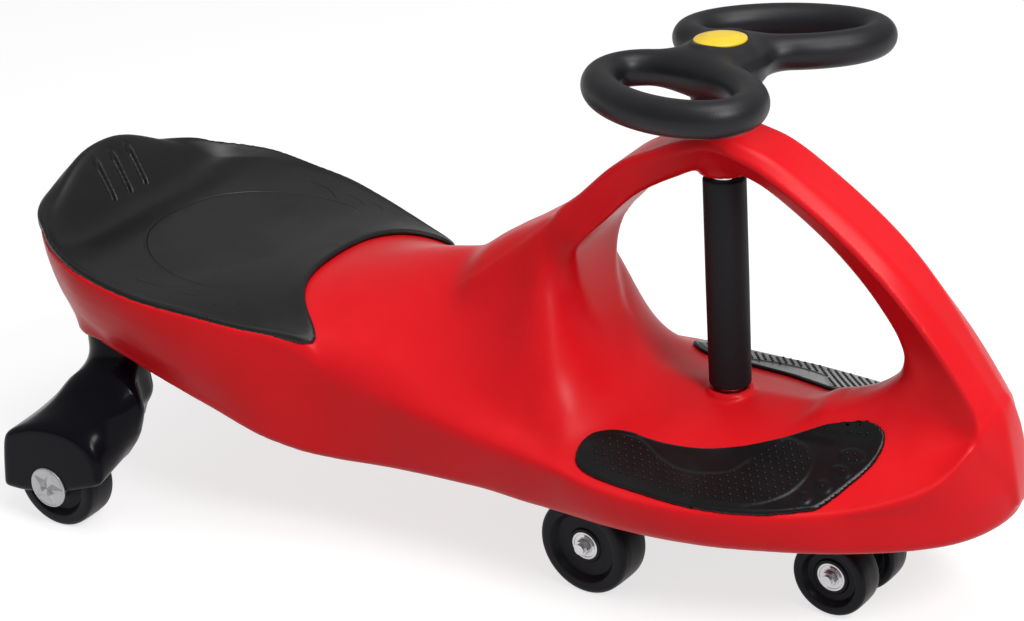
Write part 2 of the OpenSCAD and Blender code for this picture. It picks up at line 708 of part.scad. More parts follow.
// Rear arm: post in the body's socket, a cheek and a plate that hold the axle, and a hood over the wheel
module rear_arm() {
  well_r = rear_wheel_d / 2 + well_gap;
  color(black) difference() {
    union() {
      upright(post_x, post_y, arm_floor_z, post_top_z - 0.3, post_r);
      side_plate(shoulder_outline, post_y - 14, cheek_inner_y + 1);
      side_plate(sweep_outline, cheek_inner_y, sweep_outer_y);
      side_plate(hood_outline, cheek_inner_y, plate_outer_y);
    }
    across(rear_axle_x, rear_axle_z, cheek_outer_y, plate_inner_y, well_r);
    translate([rear_axle_x - well_r, cheek_outer_y, 0])
      cube([2.5 * well_r, plate_inner_y - cheek_outer_y, rear_axle_z]);
    across(rear_axle_x, rear_axle_z, cheek_inner_y - 1, plate_outer_y + 1, axle_r);
    across(rear_axle_x, rear_axle_z, plate_outer_y - axle_head_t - 0.2, plate_outer_y + 1, axle_head_r + 0.4);
    upright(post_x, post_y, 0, post_top_z + 1, arm_bolt_r);
    upright(post_x, post_y, 0, arm_floor_z + 10, arm_bolt_head_r + 0.5);
  }
}

module rear_arm_left() {
  rear_arm();
}

module rear_arm_right() {
  mirror([0, 1, 0]) rear_arm();
}

// Bolts that run up through the posts into the tops of the sockets
module arm_bolts() {
  color(steel) for (side = [-1, 1]) {
    upright(post_x, side * post_y, arm_floor_z + 9, post_top_z + 6, arm_bolt_r);
    hex_prism(post_x, side * post_y, arm_floor_z + 4, arm_floor_z + 10, arm_bolt_head_r);
  }
}

// Rear wheels, each on a headed stub axle
module at_rear(side) {
  translate([rear_axle_x, side * rear_wheel_y, rear_axle_z]) children();
}

// Rear axle: a bolt put in from outside, its head sunk in the plate, with a nut inside the cheek
axle_head_r = 6.5;
axle_head_t = 2.6;
module rear_axle() {
  head_y = plate_outer_y - 0.2;
  color(steel) translate([rear_axle_x, 0, rear_axle_z]) union() {
    across(0, 0, cheek_inner_y - nut_h - 1, head_y, axle_r);
    across(0, 0, head_y - axle_head_t, head_y, axle_head_r);
  }
}

module rear_axle_left() {
  rear_axle();
}

module rear_axle_right() {
  mirror([0, 1, 0]) rear_axle();
}

module rear_wheel_left() {
  color(rubber) at_rear(1) wheel(rear_wheel_d, rear_wheel_w);
}

module rear_wheel_right() {
  color(rubber) at_rear(-1) wheel(rear_wheel_d, rear_wheel_w);
}

module rear_bearings_left() {
  color(steel) at_rear(1) bearing_pair(rear_wheel_w);
}

module rear_bearings_right() {
  color(steel) at_rear(-1) bearing_pair(rear_wheel_w);
}

module rear_spacers() {
  color(steel) for (side = [0, 1]) mirror([0, side, 0]) at_rear(1) {
    washer(cheek_outer_y - rear_wheel_y, -bearing_face(rear_wheel_w) - 0.3);
    washer(bearing_face(rear_wheel_w) + 0.3, plate_inner_y - rear_wheel_y);
  }
}

module rear_nuts() {
  color(steel) for (side = [0, 1]) mirror([0, side, 0])
    translate([rear_axle_x, 0, rear_axle_z]) nut(cheek_inner_y - nut_h);
}

// Cap over the head of the rear axle, on the outer plate
module rear_wheel_cap() {
  rim = hub_cap_d / 2;
  color(steel) translate([rear_axle_x, plate_outer_y, rear_axle_z]) rotate([-90, 0, 0]) rotate_extrude()
    polygon([[0, 0], [rim, 0], [rim, hub_cap_t - 0.7], [rim - 1, hub_cap_t], [0, hub_cap_t + 0.6]]);
}

module rear_wheel_cap_left() {
  rear_wheel_cap();
}

module rear_wheel_cap_right() {
  mirror([0, 1, 0]) rear_wheel_cap();
}

body_shell();
seat();
foot_pad_left();
foot_pad_right();
steering_wheel();
steering_wheel_cap();
steering_wheel_bolt();
steering_wheel_washer();
steering_column();
column_sleeve();
upper_bush();
lower_bush();
thrust_washer();
front_yoke();
yoke_pin();
front_axle();
front_wheel_left();
front_wheel_right();
front_bearings_left();
front_bearings_right();
front_spacers();
front_nuts();
safety_axle();
safety_wheel_left();
safety_wheel_right();
safety_bearings_left();
safety_bearings_right();
safety_spacers();
safety_nuts();
rear_arm_left();
rear_arm_right();
arm_bolts();
rear_axle_left();
rear_axle_right();
rear_wheel_left();
rear_wheel_right();
rear_bearings_left();
rear_bearings_right();
rear_spacers();
rear_nuts();
rear_wheel_cap_left();
rear_wheel_cap_right();
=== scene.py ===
import math

import bmesh
import bpy
import numpy as np
from mathutils import Matrix, Vector


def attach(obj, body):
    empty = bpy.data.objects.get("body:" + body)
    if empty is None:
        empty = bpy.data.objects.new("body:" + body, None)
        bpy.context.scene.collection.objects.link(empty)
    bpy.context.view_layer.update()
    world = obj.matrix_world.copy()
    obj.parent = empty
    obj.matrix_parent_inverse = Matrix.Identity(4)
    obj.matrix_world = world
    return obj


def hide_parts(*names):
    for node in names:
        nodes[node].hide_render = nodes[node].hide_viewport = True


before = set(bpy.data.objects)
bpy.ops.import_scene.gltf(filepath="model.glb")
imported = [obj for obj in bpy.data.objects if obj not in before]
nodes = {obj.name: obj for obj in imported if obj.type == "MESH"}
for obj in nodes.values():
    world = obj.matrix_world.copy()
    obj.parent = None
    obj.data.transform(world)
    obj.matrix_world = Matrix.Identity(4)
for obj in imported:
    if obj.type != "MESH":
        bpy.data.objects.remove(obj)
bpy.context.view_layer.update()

# Camera, floor and light
# A plain studio: a pale floor without an edge in view, a large soft lamp overhead, a second one in front to the
# right, and a pale room all round. The camera stands at the photograph's place and angle.
def placed(name, data):
    """New object of some data, in the scene."""
    made = bpy.data.objects.new(name, data)
    bpy.context.scene.collection.objects.link(made)
    return made


photo_width, focal_length, sensor_width = 1024, 2202.914, 36
camera_place = (0.7988, -1.3122, 0.8321)
camera_data = bpy.data.cameras.new("studio_camera")
camera_data.sensor_width = sensor_width
camera_data.lens = sensor_width * focal_length / photo_width
camera = placed("studio_camera", camera_data)
turn, lift, tilt = (math.radians(a) for a in (31.235, 23.058, -4.071))
back = Vector((math.sin(turn) * math.cos(lift), -math.cos(turn) * math.cos(lift), math.sin(lift)))
level = Vector((math.cos(turn), math.sin(turn), 0))
upward = back.cross(level)
across = math.cos(tilt) * level + math.sin(tilt) * upward
upward = -math.sin(tilt) * level + math.cos(tilt) * upward
facing = Matrix((across, upward, back)).transposed().to_4x4()
camera.matrix_world = Matrix.Translation(camera_place) @ facing
bpy.context.scene.camera = camera
bpy.context.scene.view_settings.view_transform = "Standard"


def put(tree, kind, inputs, **options):
    """New node with its options set and its inputs set or linked. A node given stands for its first output."""
    made = tree.nodes.new(kind if kind.startswith("Geometry") else "ShaderNode" + kind)
    for key, value in options.items():
        setattr(made, key, value)
    for key, value in inputs.items():
        value = value.outputs[0] if isinstance(value, bpy.types.Node) else value
        if isinstance(value, bpy.types.NodeSocket):
            tree.links.new(value, made.inputs[key])
        else:
            made.inputs[key].default_value = value
    return made


def sum_of(operation, first, second, clamp=False):
    """Result of a sum on two values or sockets, in the sockets' tree."""
    tree = next(value.id_data for value in (first, second) if isinstance(value, bpy.types.NodeSocket))
    return put(tree, "Math", {0: first, 1: second}, operation=operation, use_clamp=clamp).outputs[0]


floor_reach, floor_glow = 40, 0.72
floor_mesh = bpy.data.meshes.new("studio_floor")
floor_corners = [(x * floor_reach, y * floor_reach, 0) for x, y in ((-1, -1), (1, -1), (1, 1), (-1, 1))]
floor_mesh.from_pydata(floor_corners, [], [(0, 1, 2, 3)])
floor = placed("studio_floor", floor_mesh)
floor_paint = bpy.data.materials.new("floor_paint")
floor_paint.use_nodes = True
floor_tree = floor_paint.node_tree
floor_shader = floor_tree.nodes["Principled BSDF"]
for label, value in (("Base Color", (0.42, 0.42, 0.42, 1)), ("Roughness", 0.9), ("Specular IOR Level", 0.1),
                     ("Emission Color", (1, 1, 1, 1))):
    floor_shader.inputs[label].default_value = value
rays = put(floor_tree, "LightPath", {}).outputs
seen = sum_of("ADD", rays["Is Camera Ray"], rays["Is Glossy Ray"])
seen = sum_of("ADD", seen, rays["Is Transmission Ray"])
floor_tree.links.new(sum_of("MULTIPLY", seen, floor_glow), floor_shader.inputs["Emission Strength"])
floor_mesh.materials.append(floor_paint)

room = bpy.data.worlds.new("studio_room")
bpy.context.scene.world = room
room.use_nodes = True
room.node_tree.nodes["Background"].inputs["Color"].default_value = (1, 1, 1, 1)
room.node_tree.nodes["Background"].inputs["Strength"].default_value = 0.36


def lamp(name, place, aim, size, power):
    """Round soft lamp at a place, aimed at a point."""
    data = bpy.data.lights.new(name, "AREA")
    data.shape = "DISK"
    data.size = size
    data.energy = power
    made = placed(name, data)
    made.location = place
    made.rotation_euler = (Vector(aim) - Vector(place)).to_track_quat("-Z", "Y").to_euler()


lamp("overhead_lamp", (0.7, -0.1, 2.3), (0.1, 0, 0.1), 1.2, 23.5)
lamp("front_lamp", (1.9, -1.0, 2.1), (0.1, 0, 0.15), 0.9, 44)


# Body shell
# One hollow moulding of red plastic: a tub with a seat deck, a hump and a floor pan, and an arch over the
# pan whose top carries the steering column. It is blown in one piece, so every join is a soft fillet.
column_x = 183.0
# sizes of the pieces are in millimetres, and x is measured from the column
# plan of the tub's rim: x and half the width
rim_line = [
    (-580.6, 0), (-580.3, 13), (-579, 30), (-574, 54), (-566, 75), (-555, 93), (-540, 109), (-520, 125),
    (-491, 139), (-457, 144), (-420, 144), (-380, 135), (-345, 125), (-311, 113), (-280, 106), (-240, 105),
    (-204, 107), (-175, 109), (-150, 111), (-118, 115), (-90, 119), (-70, 123), (-40, 126), (0, 126), (40, 120),
    (80, 110), (105, 101), (125, 92), (145, 82), (165, 70), (185, 54), (200, 37), (210, 22), (216, 9),
    (217.3, 3.5), (217.5, 0)]
# plan of the tub's lower edge
foot_line = [
    (-580, 0), (-579.8, 12), (-579, 26), (-574, 46), (-566, 64), (-555, 80), (-540, 94), (-520, 108), (-491, 119),
    (-457, 124), (-420, 125), (-380, 122), (-345, 118), (-311, 111), (-280, 106), (-240, 104), (-204, 105),
    (-175, 106), (-150, 107), (-118, 110), (-90, 113), (-70, 116), (-40, 120), (0, 121), (40, 117), (80, 107),
    (105, 99), (125, 91), (145, 81), (165, 69), (185, 53), (200, 36), (210, 21), (215, 9), (216.3, 3.5),
    (216.5, 0)]
# height of the rim along the toy
rim_height = [
    (-590, 241), (-574, 240), (-566, 239), (-555, 237), (-540, 233), (-520, 228), (-491, 220), (-457, 211),
    (-420, 203), (-380, 194), (-345, 185), (-311, 178), (-280, 169), (-240, 157), (-204, 147), (-175, 141),
    (-150, 136), (-130, 132), (-110, 128), (-90, 124), (-70, 120), (-40, 115), (0, 112), (40, 111), (80, 111.5),
    (105, 113), (120, 115), (132, 117.5), (145, 121), (157, 124.5), (170, 129.5), (181, 135), (189, 141),
    (194, 150), (198, 162), (204, 168), (220, 168)]
# height of the deck, the hump and the floor pan along the middle
crown_height = [
    (-590, 243), (-579, 246), (-574, 257), (-567, 271), (-560, 271), (-553, 259), (-547, 243), (-540, 224),
    (-533, 213), (-520, 211), (-491, 212), (-457, 207), (-420, 201), (-380, 200), (-345, 201), (-311, 206),
    (-280, 211), (-240, 219), (-204, 226), (-175, 235), (-150, 247), (-136, 255), (-126, 258), (-118, 252),
    (-112, 234), (-109, 219), (-105, 206), (-99, 195), (-92, 183), (-85, 172), (-78, 163), (-70, 156.5),
    (-60, 152), (-40, 148.5), (0, 146), (40, 146), (80, 148), (105, 151), (125, 154), (145, 158), (165, 161),
    (181, 163), (194, 166), (204, 170), (220, 170)]
# how full the section is between the rim and the middle: higher is squarer
flank_power = [
    (-590, 2.3), (-560, 2.3), (-548, 2.6), (-541, 3), (-533, 4.5), (-520, 6), (-491, 6), (-457, 5), (-420, 3),
    (-380, 2), (-280, 1.9), (-204, 2), (-175, 2.3), (-150, 2.8), (-136, 3.3), (-124, 3.7), (-117, 3.4),
    (-106, 4.1), (-97, 3.2), (-90, 2.5), (-82, 1.8), (-72, 1.45), (-60, 1.25), (-40, 1.1), (105, 1.1), (125, 1.2),
    (165, 1.3), (185, 1.5), (200, 1.8), (210, 2)]
crown_power = [
    (-590, 1.5), (-562, 1.5), (-548, 1.2), (-541, 1), (-280, 1), (-240, 1.15), (-204, 1.5), (-175, 2),
    (-150, 2.7), (-136, 3.5), (-124, 4.3), (-117, 3.8), (-106, 4.1), (-97, 2.7), (-90, 1.9), (-82, 1.45),
    (-72, 1.2), (-60, 1.1), (-40, 1), (80, 1), (125, 1.1), (165, 1.1), (210, 1)]
# plan of the nose, half way up and at its top
nose_mid_line = [
    (60, 150), (120, 112), (170, 74), (185, 55), (195.5, 39), (203, 26), (208, 15), (210.5, 7), (211.3, 0)]
nose_top_line = [
    (60, 140), (120, 104), (165, 72), (185, 46), (194.5, 31), (200, 14), (204.5, 6.5), (206.3, 0)]
# height of the underside
belly_height = [
    (-590, 240), (-579, 228), (-574, 214), (-566, 199), (-555, 185), (-540, 172), (-520, 161), (-491, 151),
    (-457, 142), (-420, 128), (-380, 111), (-345, 94), (-311, 83), (-280, 80), (-240, 81), (-204, 82), (-150, 82),
    (-118, 80), (185, 80), (200, 81), (210, 84), (220, 92)]
# side view of the arch's outer edge: x, z, half the width, the greatest half width below it, and how deep that lies
arch_outer = [
    (217, 86, 6, 7, 4), (216.6, 112, 12, 14, 4), (214.5, 131, 14, 22, 8), (210.5, 150, 13, 31, 12),
    (205.5, 165, 12, 33.5, 9.5), (196.5, 180, 11.5, 30, 6.4), (176.5, 210, 12.6, 30, 6), (154.5, 240, 16, 30, 8),
    (128, 270, 18.7, 30.5, 9), (94, 300, 19.5, 31, 9), (51, 330, 21.6, 31, 9), (25, 341, 22, 30, 8),
    (0, 345, 23, 28, 7), (-25, 338, 23.5, 27, 6), (-45, 330, 25, 27.5, 4), (-65, 321.5, 26, 28, 3),
    (-80, 311.5, 26.5, 28.5, 3), (-101, 292.5, 27, 29.5, 3), (-122, 274, 28, 31, 3), (-144, 255.5, 29, 32, 3),
    (-165, 239, 30, 33, 3), (-190, 221, 30, 32, 3), (-238, 190, 24, 26, 3)]
# side view of its inner edge: x, z and half the width
arch_inner = [
    (72, 110, 24), (76, 146, 24), (92, 155, 24), (106, 162, 23.5), (119, 171, 22.5), (129, 181, 21.5),
    (135, 193, 20.5), (136, 206, 19), (127, 222, 16.5), (105, 250, 15), (76, 278, 14), (41, 305, 15),
    (20, 316, 17), (0, 321, 18), (-27, 311, 20), (-57, 296, 26), (-79, 276, 36), (-97, 258, 45), (-105, 240, 34),
    (-109, 222, 22), (-110, 204, 12), (-110, 188, 4), (-112, 165, 3)]
# the collar on the floor, the boss under the arch, their bores, and the sockets of the rear arms
collar_radius, collar_top = 17.2, 147.6
boss_radius, boss_middle, boss_half = 17, 330, 18
floor_bore, arch_bore, bush_bore, bush_top = 12.2, 13.6, 14.1, 120
socket_x, socket_y = -491.0, 94.0
socket_radius, socket_middle, socket_half = 28, 180, 22
socket_bore, socket_roof = 23.4, 199


def soften(values, spread):
    """Row of values smoothed by a bell curve, with its ends carried straight on."""
    reach = int(4 * spread)
    weights = np.exp(-0.5 * (np.arange(-reach, reach + 1) / spread) ** 2)
    before, after = 2 * values[0] - values[reach:0:-1], 2 * values[-1] - values[-2:-reach - 2:-1]
    return np.convolve(np.concatenate([before, values, after]), weights / weights.sum(), "valid")


def along(points, spread):
    """Smooth row of values through (x, value) points, one for each millimetre of plan_line."""
    points = np.array(points, float)
    return soften(np.interp(plan_line, points[:, 0], points[:, 1]), spread)


def smooth_line(points, steps):
    """Curve through points, each stretch cut into equal steps."""
    points = np.array(points, float)
    ends = np.concatenate([2 * points[:1] - points[1:2], points, 2 * points[-1:] - points[-2:-1]])
    out = []
    for a, b, c, d in zip(ends[:-3], ends[1:-2], ends[2:-1], ends[3:]):
        square, cube = 2 * a - 5 * b + 4 * c - d, 3 * b - a - 3 * c + d
        for f in np.arange(steps) / steps:
            out.append(0.5 * (2 * b + (c - a) * f + square * f ** 2 + cube * f ** 3))
    return np.array(out + [points[-1]])


def nearest_on(line, px, pz):
    """Signed distance from a line in a plane, and the nearest place along it, counted in its points."""
    best = np.full(px.shape, 1e9)
    side = np.zeros(px.shape)
    place = np.zeros(px.shape)
    for i in range(len(line) - 1):
        ax, az = line[i, :2]
        dx, dz = line[i + 1, :2] - line[i, :2]
        f = np.clip(((px - ax) * dx + (pz - az) * dz) / (dx * dx + dz * dz + 1e-12), 0, 1)
        gx, gz = px - ax - f * dx, pz - az - f * dz
        gap = gx * gx + gz * gz
        near = gap < best
        best = np.where(near, gap, best)
        side = np.where(near, dx * gz - dz * gx, side)
        place = np.where(near, i + f, place)
    return np.sqrt(best) * np.sign(side), place


def look_up(table, x, y):
    """Value between the entries of a table that has one entry for each millimetre."""
    x = np.clip(x, 0, table.shape[0] - 1.001)
    y = np.clip(y, 0, table.shape[1] - 1.001)
    i, j = x.astype(int), y.astype(int)
    f, g = x - i, y - j
    return ((table[i, j] * (1 - f) + table[i + 1, j] * f) * (1 - g)
            + (table[i, j + 1] * (1 - f) + table[i + 1, j + 1] * f) * g)


def on_plan(table, x, y):
    return look_up(table, x - plan_line[0], y)


def on_side(table, x, z):
    return look_up(table, x - side_x[0, 0], z - side_z[0, 0])


def look_along(values, x):
    return np.interp(x, plan_line, values)


def rounded_max(a, b, k):
    """The greater of two fields, with the edge between them rounded over k millimetres."""
    h = np.maximum(k - np.abs(a - b), 0) / k
    return np.maximum(a, b) + h * h * k / 4


def rounded_min(a, b, k):
    return -rounded_max(-a, -b, k)


def ramp(value, start, stop):
    """Soft step from 0 at the start to 1 at the stop."""
    f = np.clip((value - start) / (stop - start), 0, 1)
    return f * f * (3 - 2 * f)


def steepness(table):
    return np.gradient(table, axis=0) ** 2 + np.gradient(table, axis=1) ** 2


plan_line = np.arange(-640.0, 281.0)
plan_x, plan_y = np.meshgrid(plan_line, np.arange(0.0, 181.0), indexing="ij")
rim_gap, foot_gap, nose_mid_gap, nose_top_gap = (
    nearest_on(smooth_line(line, 6), plan_x, plan_y)[0]
    for line in (rim_line, foot_line, nose_mid_line, nose_top_line))
rim_z, crown_z, belly_z = along(rim_height, 9), along(crown_height, 6), along(belly_height, 9)
flank, crest = along(flank_power, 5), along(crown_power, 5)
half_width = np.maximum(np.interp(plan_line, *np.array(smooth_line(rim_line, 6)).T), 12)
from_middle = np.sqrt((plan_y / half_width[:, None]) ** 2 + 0.05 ** 2)
fall = 1 - from_middle ** flank[:, None]
deck = rim_z[:, None] + (crown_z - rim_z)[:, None] * np.sign(fall) * np.abs(fall) ** crest[:, None]
deck_slope = np.sqrt(1 + steepness(deck))
belly_slope = np.sqrt(1 + np.gradient(belly_z) ** 2)

# the deck lies lower under the seat, and a low ledge stands round the seat's edge
to_tip = np.minimum(plan_y, 110) / 98
seat_front = -335 + 45 * to_tip ** 3.2
seat_front_gap = (plan_x - seat_front) / np.sqrt(1 + (1.47 * to_tip ** 2.2) ** 2)
seat_bed = (4 + 10 * ramp(-plan_x, 532, 545)) * ramp(-rim_gap, 6, 13) * ramp(-seat_front_gap, 6, 13)
seat_ledge = 3.4 * ramp(rim_gap, -7, -3) * ramp(-seat_front_gap, 2, 10) * ramp(plan_x, -560, -535)
deck_cut = seat_bed - seat_ledge

side_x, side_z = np.meshgrid(np.arange(-240.0, 241.0), np.arange(60.0, 381.0), indexing="ij")
outer_line, inner_line = smooth_line(arch_outer, 8), smooth_line(arch_inner, 8)
outer_gap, outer_place = nearest_on(outer_line, side_x, side_z)
inner_gap, inner_place = nearest_on(inner_line, side_x, side_z)
outer_gap = -outer_gap
outer_width, waist_width, waist_depth = (
    np.interp(outer_place, np.arange(len(outer_line)), column) for column in outer_line.T[2:])
inner_width = np.interp(inner_place, np.arange(len(inner_line)), inner_line[:, 2])
beyond = np.clip(-outer_gap / waist_depth, 0, 1)
within = np.clip((-outer_gap - waist_depth) / np.maximum(-outer_gap - inner_gap - waist_depth, 4), 0, 1)
arch_half = outer_width + (waist_width - outer_width) * beyond + (inner_width - waist_width) * within
for turn_axis in (0, 1):
    arch_half = np.apply_along_axis(soften, turn_axis, arch_half, 1.0)
arch_slope = np.sqrt(1 + np.clip(steepness(arch_half), 0, 9))
inward_at = [0, 0.12, 0.25, 0.45, 0.62, 0.78, 0.88, 1], [0, 0.03, 0.12, 0.33, 0.55, 0.83, 1, 1]


def body_field(x, y, z):
    """Less than zero inside the moulding: the tub, the arch, and the collar, boss and sockets with their bores."""
    y = np.abs(y)
    rim, belly = look_along(rim_z, x), look_along(belly_z, x)
    drop = np.clip((rim - z) / np.maximum(rim - belly, 8), 0, 1)
    inward = np.interp(drop, *inward_at)
    wall = on_plan(rim_gap, x, y) * (1 - inward) + on_plan(foot_gap, x, y) * inward
    wall = wall - 3.2 * drop * (1 - drop)
    ahead = ramp(x, 80, 130)
    mid, high = ahead * np.clip((z - 112) / 38, 0, 1), ahead * np.clip((z - 150) / 18, 0, 1)
    wall = wall * (1 - mid) + on_plan(nose_mid_gap, x, y) * mid
    wall = wall * (1 - high) + on_plan(nose_top_gap, x, y) * high
    top = (z - on_plan(deck, x, y) + on_plan(deck_cut, x, y)) / on_plan(deck_slope, x, y)
    edge = 3 + 15 * ramp(x, -330, -260) * ramp(-x, 60, 150)
    tub = rounded_max(top, wall, edge)
    outer = on_side(outer_gap, x, z)
    tub = np.where(x > 100, rounded_max(tub, outer, 4), tub)
    tub = rounded_max(tub, (belly - z) / look_along(belly_slope, x), 9)
    arch_wall = (y - on_side(arch_half, x, z)) / on_side(arch_slope, x, z)
    arch = rounded_max(arch_wall, outer, 3 + 25 * ramp(-x, 112, 160))
    arch = rounded_max(arch, on_side(inner_gap, x, z), 5 + 13 * ramp(x, 40, 80) * ramp(-z, -212, -182))
    arch = np.maximum(arch, 100 - z) + 40 * ramp(-x, 180, 238)
    fillet = 6 + 16 * ramp(-x, -188, -150) + 4 * ramp(-x, -20, 100) + 14 * ramp(-x, 130, 175)
    body = rounded_min(tub, arch, fillet)
    ring = np.sqrt(x * x + y * y)
    body = rounded_min(body, rounded_max(ring - collar_radius, z - collar_top, 2), 1.5)
    body = rounded_min(body, np.maximum(ring - boss_radius, np.abs(z - boss_middle) - boss_half), 8)
    body = rounded_max(body, np.where(z < 200, floor_bore, arch_bore) - ring, 1.5)
    body = rounded_max(body, np.minimum(bush_bore - ring, bush_top - z), 1.5)
    post = np.sqrt((x - socket_x) ** 2 + (y - socket_y) ** 2)
    body = rounded_min(body, np.maximum(post - socket_radius, np.abs(z - socket_middle) - socket_half), 6)
    return rounded_max(body, np.minimum(socket_bore - post, socket_roof - z), 2)


def spaced(start, *runs):
    """Grid lines from a start, in runs of (stop, spacing)."""
    lines = [start]
    for stop, spacing in runs:
        count = max(1, round((stop - lines[-1]) / spacing))
        lines += list(np.linspace(lines[-1], stop, count + 1)[1:])
    return np.array(lines, float)


def skin(name, field, axes, material, rounds=2):
    """Closed mesh where a field is zero, on three sets of grid lines in millimetres from the column's foot."""
    step = min(np.diff(a).min() for a in axes)
    grid = np.broadcast_to(field(*np.ix_(*axes)), [len(a) for a in axes])
    inside = grid < 0
    n = np.array(grid.shape) - 1
    corners = list(np.ndindex(2, 2, 2))
    count = sum(inside[i:i + n[0], j:j + n[1], k:k + n[2]].astype(np.int8) for i, j, k in corners)
    cells = np.argwhere((count > 0) & (count < 8))
    number = np.full(n, -1)
    number[tuple(cells.T)] = np.arange(len(cells))
    value = {c: grid[tuple((cells + c).T)] for c in corners}
    points = np.zeros((len(cells), 3))
    hits = np.zeros(len(cells))
    for a in corners:
        for axis in (i for i in range(3) if not a[i]):
            b = tuple(1 if i == axis else a[i] for i in range(3))
            cut = (value[a] < 0) != (value[b] < 0)
            f = np.where(cut, value[a] / np.where(cut, value[a] - value[b], 1), 0)
            points += np.where(cut[:, None], np.array(a) + f[:, None] * (np.array(b) - a), 0)
            hits += cut
    points = cells + points / hits[:, None]
    points = np.stack([np.interp(points[:, i], np.arange(len(axes[i])), axes[i]) for i in range(3)], 1)
    quads = []
    unit = np.eye(3, dtype=int)
    for axis, one, two in ((0, 1, 2), (1, 2, 0), (2, 0, 1)):
        shift = unit[axis]
        first = inside[tuple(slice(0, g - s) for g, s in zip(grid.shape, shift))]
        second = inside[tuple(slice(s, g) for g, s in zip(grid.shape, shift))]
        at = np.argwhere(first != second)
        at = at[(at[:, one] > 0) & (at[:, two] > 0) & (at[:, one] < n[one]) & (at[:, two] < n[two])]
        ring = np.stack([number[tuple((at - du * unit[one] - dv * unit[two]).T)]
                         for du, dv in ((1, 1), (0, 1), (0, 0), (1, 0))], 1)
        outward = first[tuple(at.T)]
        quads.append(np.where(outward[:, None], ring, ring[:, ::-1]))
    quads = np.concatenate(quads)

    def settle(points):
        h = 0.15 * step
        for _ in range(2):
            level = field(*points.T)
            slope = np.stack([(field(*(points + h * e).T) - field(*(points - h * e).T)) / (2 * h)
                              for e in np.eye(3)], 1)
            push = np.clip(level / np.maximum((slope ** 2).sum(1), 0.2), -step / 2, step / 2)
            points = points - push[:, None] * slope
        return points

    for _ in range(rounds):
        total, share = np.zeros_like(points), np.zeros(len(points))
        for i in range(4):
            for j in (1, 3):
                np.add.at(total, quads[:, i], points[quads[:, (i + j) % 4]])
                np.add.at(share, quads[:, i], 1)
        points = settle(0.4 * points + 0.6 * total / np.maximum(share, 1)[:, None])
    mesh = bpy.data.meshes.new(name)
    mesh.from_pydata(((points + (column_x, 0, 0)) * 0.001).tolist(), [], quads.tolist())
    mesh.shade_smooth()
    mesh.materials.append(material)
    return placed(name, mesh)


def node_group(name, inputs, outputs, kind="ShaderNodeTree"):
    """Node group with named inputs and outputs, each of a kind of value, and the ends to link to inside it."""
    group = bpy.data.node_groups.new(name, kind)
    for in_out, sockets in (("INPUT", inputs), ("OUTPUT", outputs)):
        for label, value_kind in sockets.items():
            group.interface.new_socket(label, in_out=in_out, socket_type="NodeSocket" + value_kind)
    return group, group.nodes.new("NodeGroupInput").outputs, group.nodes.new("NodeGroupOutput").inputs


def step_of(value, low, high):
    """A socket's value spread from 0 at the low end to 1 at the high end."""
    step = {"Value": value, "From Min": low, "From Max": high}
    return put(value.id_data, "MapRange", step).outputs[0]


# the mould's fine texture, and a slow change of shade where the plastic flowed
moulded_grain, given, wanted = node_group(
    "moulded_grain",
    {"Place": "Vector", "Fineness": "Float", "Pebble": "Float"}, {"Height": "Float", "Shade": "Float"})
speckle = put(moulded_grain, "TexNoise", {"Vector": given["Place"], "Scale": given["Fineness"], "Detail": 2.0})
pebbles = put(moulded_grain, "TexVoronoi",
              {"Vector": given["Place"], "Scale": given["Fineness"]}, feature="SMOOTH_F1")
height = put(moulded_grain, "Mix", {0: given["Pebble"], 2: speckle, 3: pebbles.outputs["Distance"]})
flow = put(moulded_grain, "TexNoise", {"Vector": given["Place"], "Scale": 11.0, "Detail": 4.0, "Distortion": 0.6})
moulded_grain.links.new(height.outputs[0], wanted["Height"])
moulded_grain.links.new(flow.outputs[0], wanted["Shade"])

# fine scratches and rubbed patches, which show the colour underneath and change the gloss
handling_wear, given, wanted = node_group(
    "handling_wear",
    {"Place": "Vector", "Colour": "Color", "Rubbed Colour": "Color", "Amount": "Float", "Roughness": "Float",
     "Rubbed Roughness": "Float"}, {"Colour": "Color", "Roughness": "Float"})
stretch = put(handling_wear, "Mapping",
              {"Vector": given["Place"], "Rotation": (0.3, 0.5, 0.6), "Scale": (24, 420, 300)})
scratch = put(handling_wear, "TexNoise", {"Vector": stretch, "Scale": 1.0, "Detail": 2.0})
scratch = step_of(scratch.outputs[0], 0.66, 0.78)
patch = put(handling_wear, "TexNoise", {"Vector": given["Place"], "Scale": 19.0, "Detail": 5.0, "Roughness": 0.6})
patch = step_of(patch.outputs[0], 0.46, 0.74)
marks = sum_of("MULTIPLY", scratch, patch)
rubbed = sum_of("ADD", marks, sum_of("MULTIPLY", patch, 0.35))
rubbed = sum_of("MULTIPLY", rubbed, given["Amount"], clamp=True)
colour = put(handling_wear, "Mix", {0: rubbed, 6: given["Colour"], 7: given["Rubbed Colour"]}, data_type="RGBA")
gloss = put(handling_wear, "Mix", {0: patch, 2: given["Roughness"], 3: given["Rubbed Roughness"]})
handling_wear.links.new(colour.outputs[2], wanted["Colour"])
handling_wear.links.new(gloss.outputs[0], wanted["Roughness"])

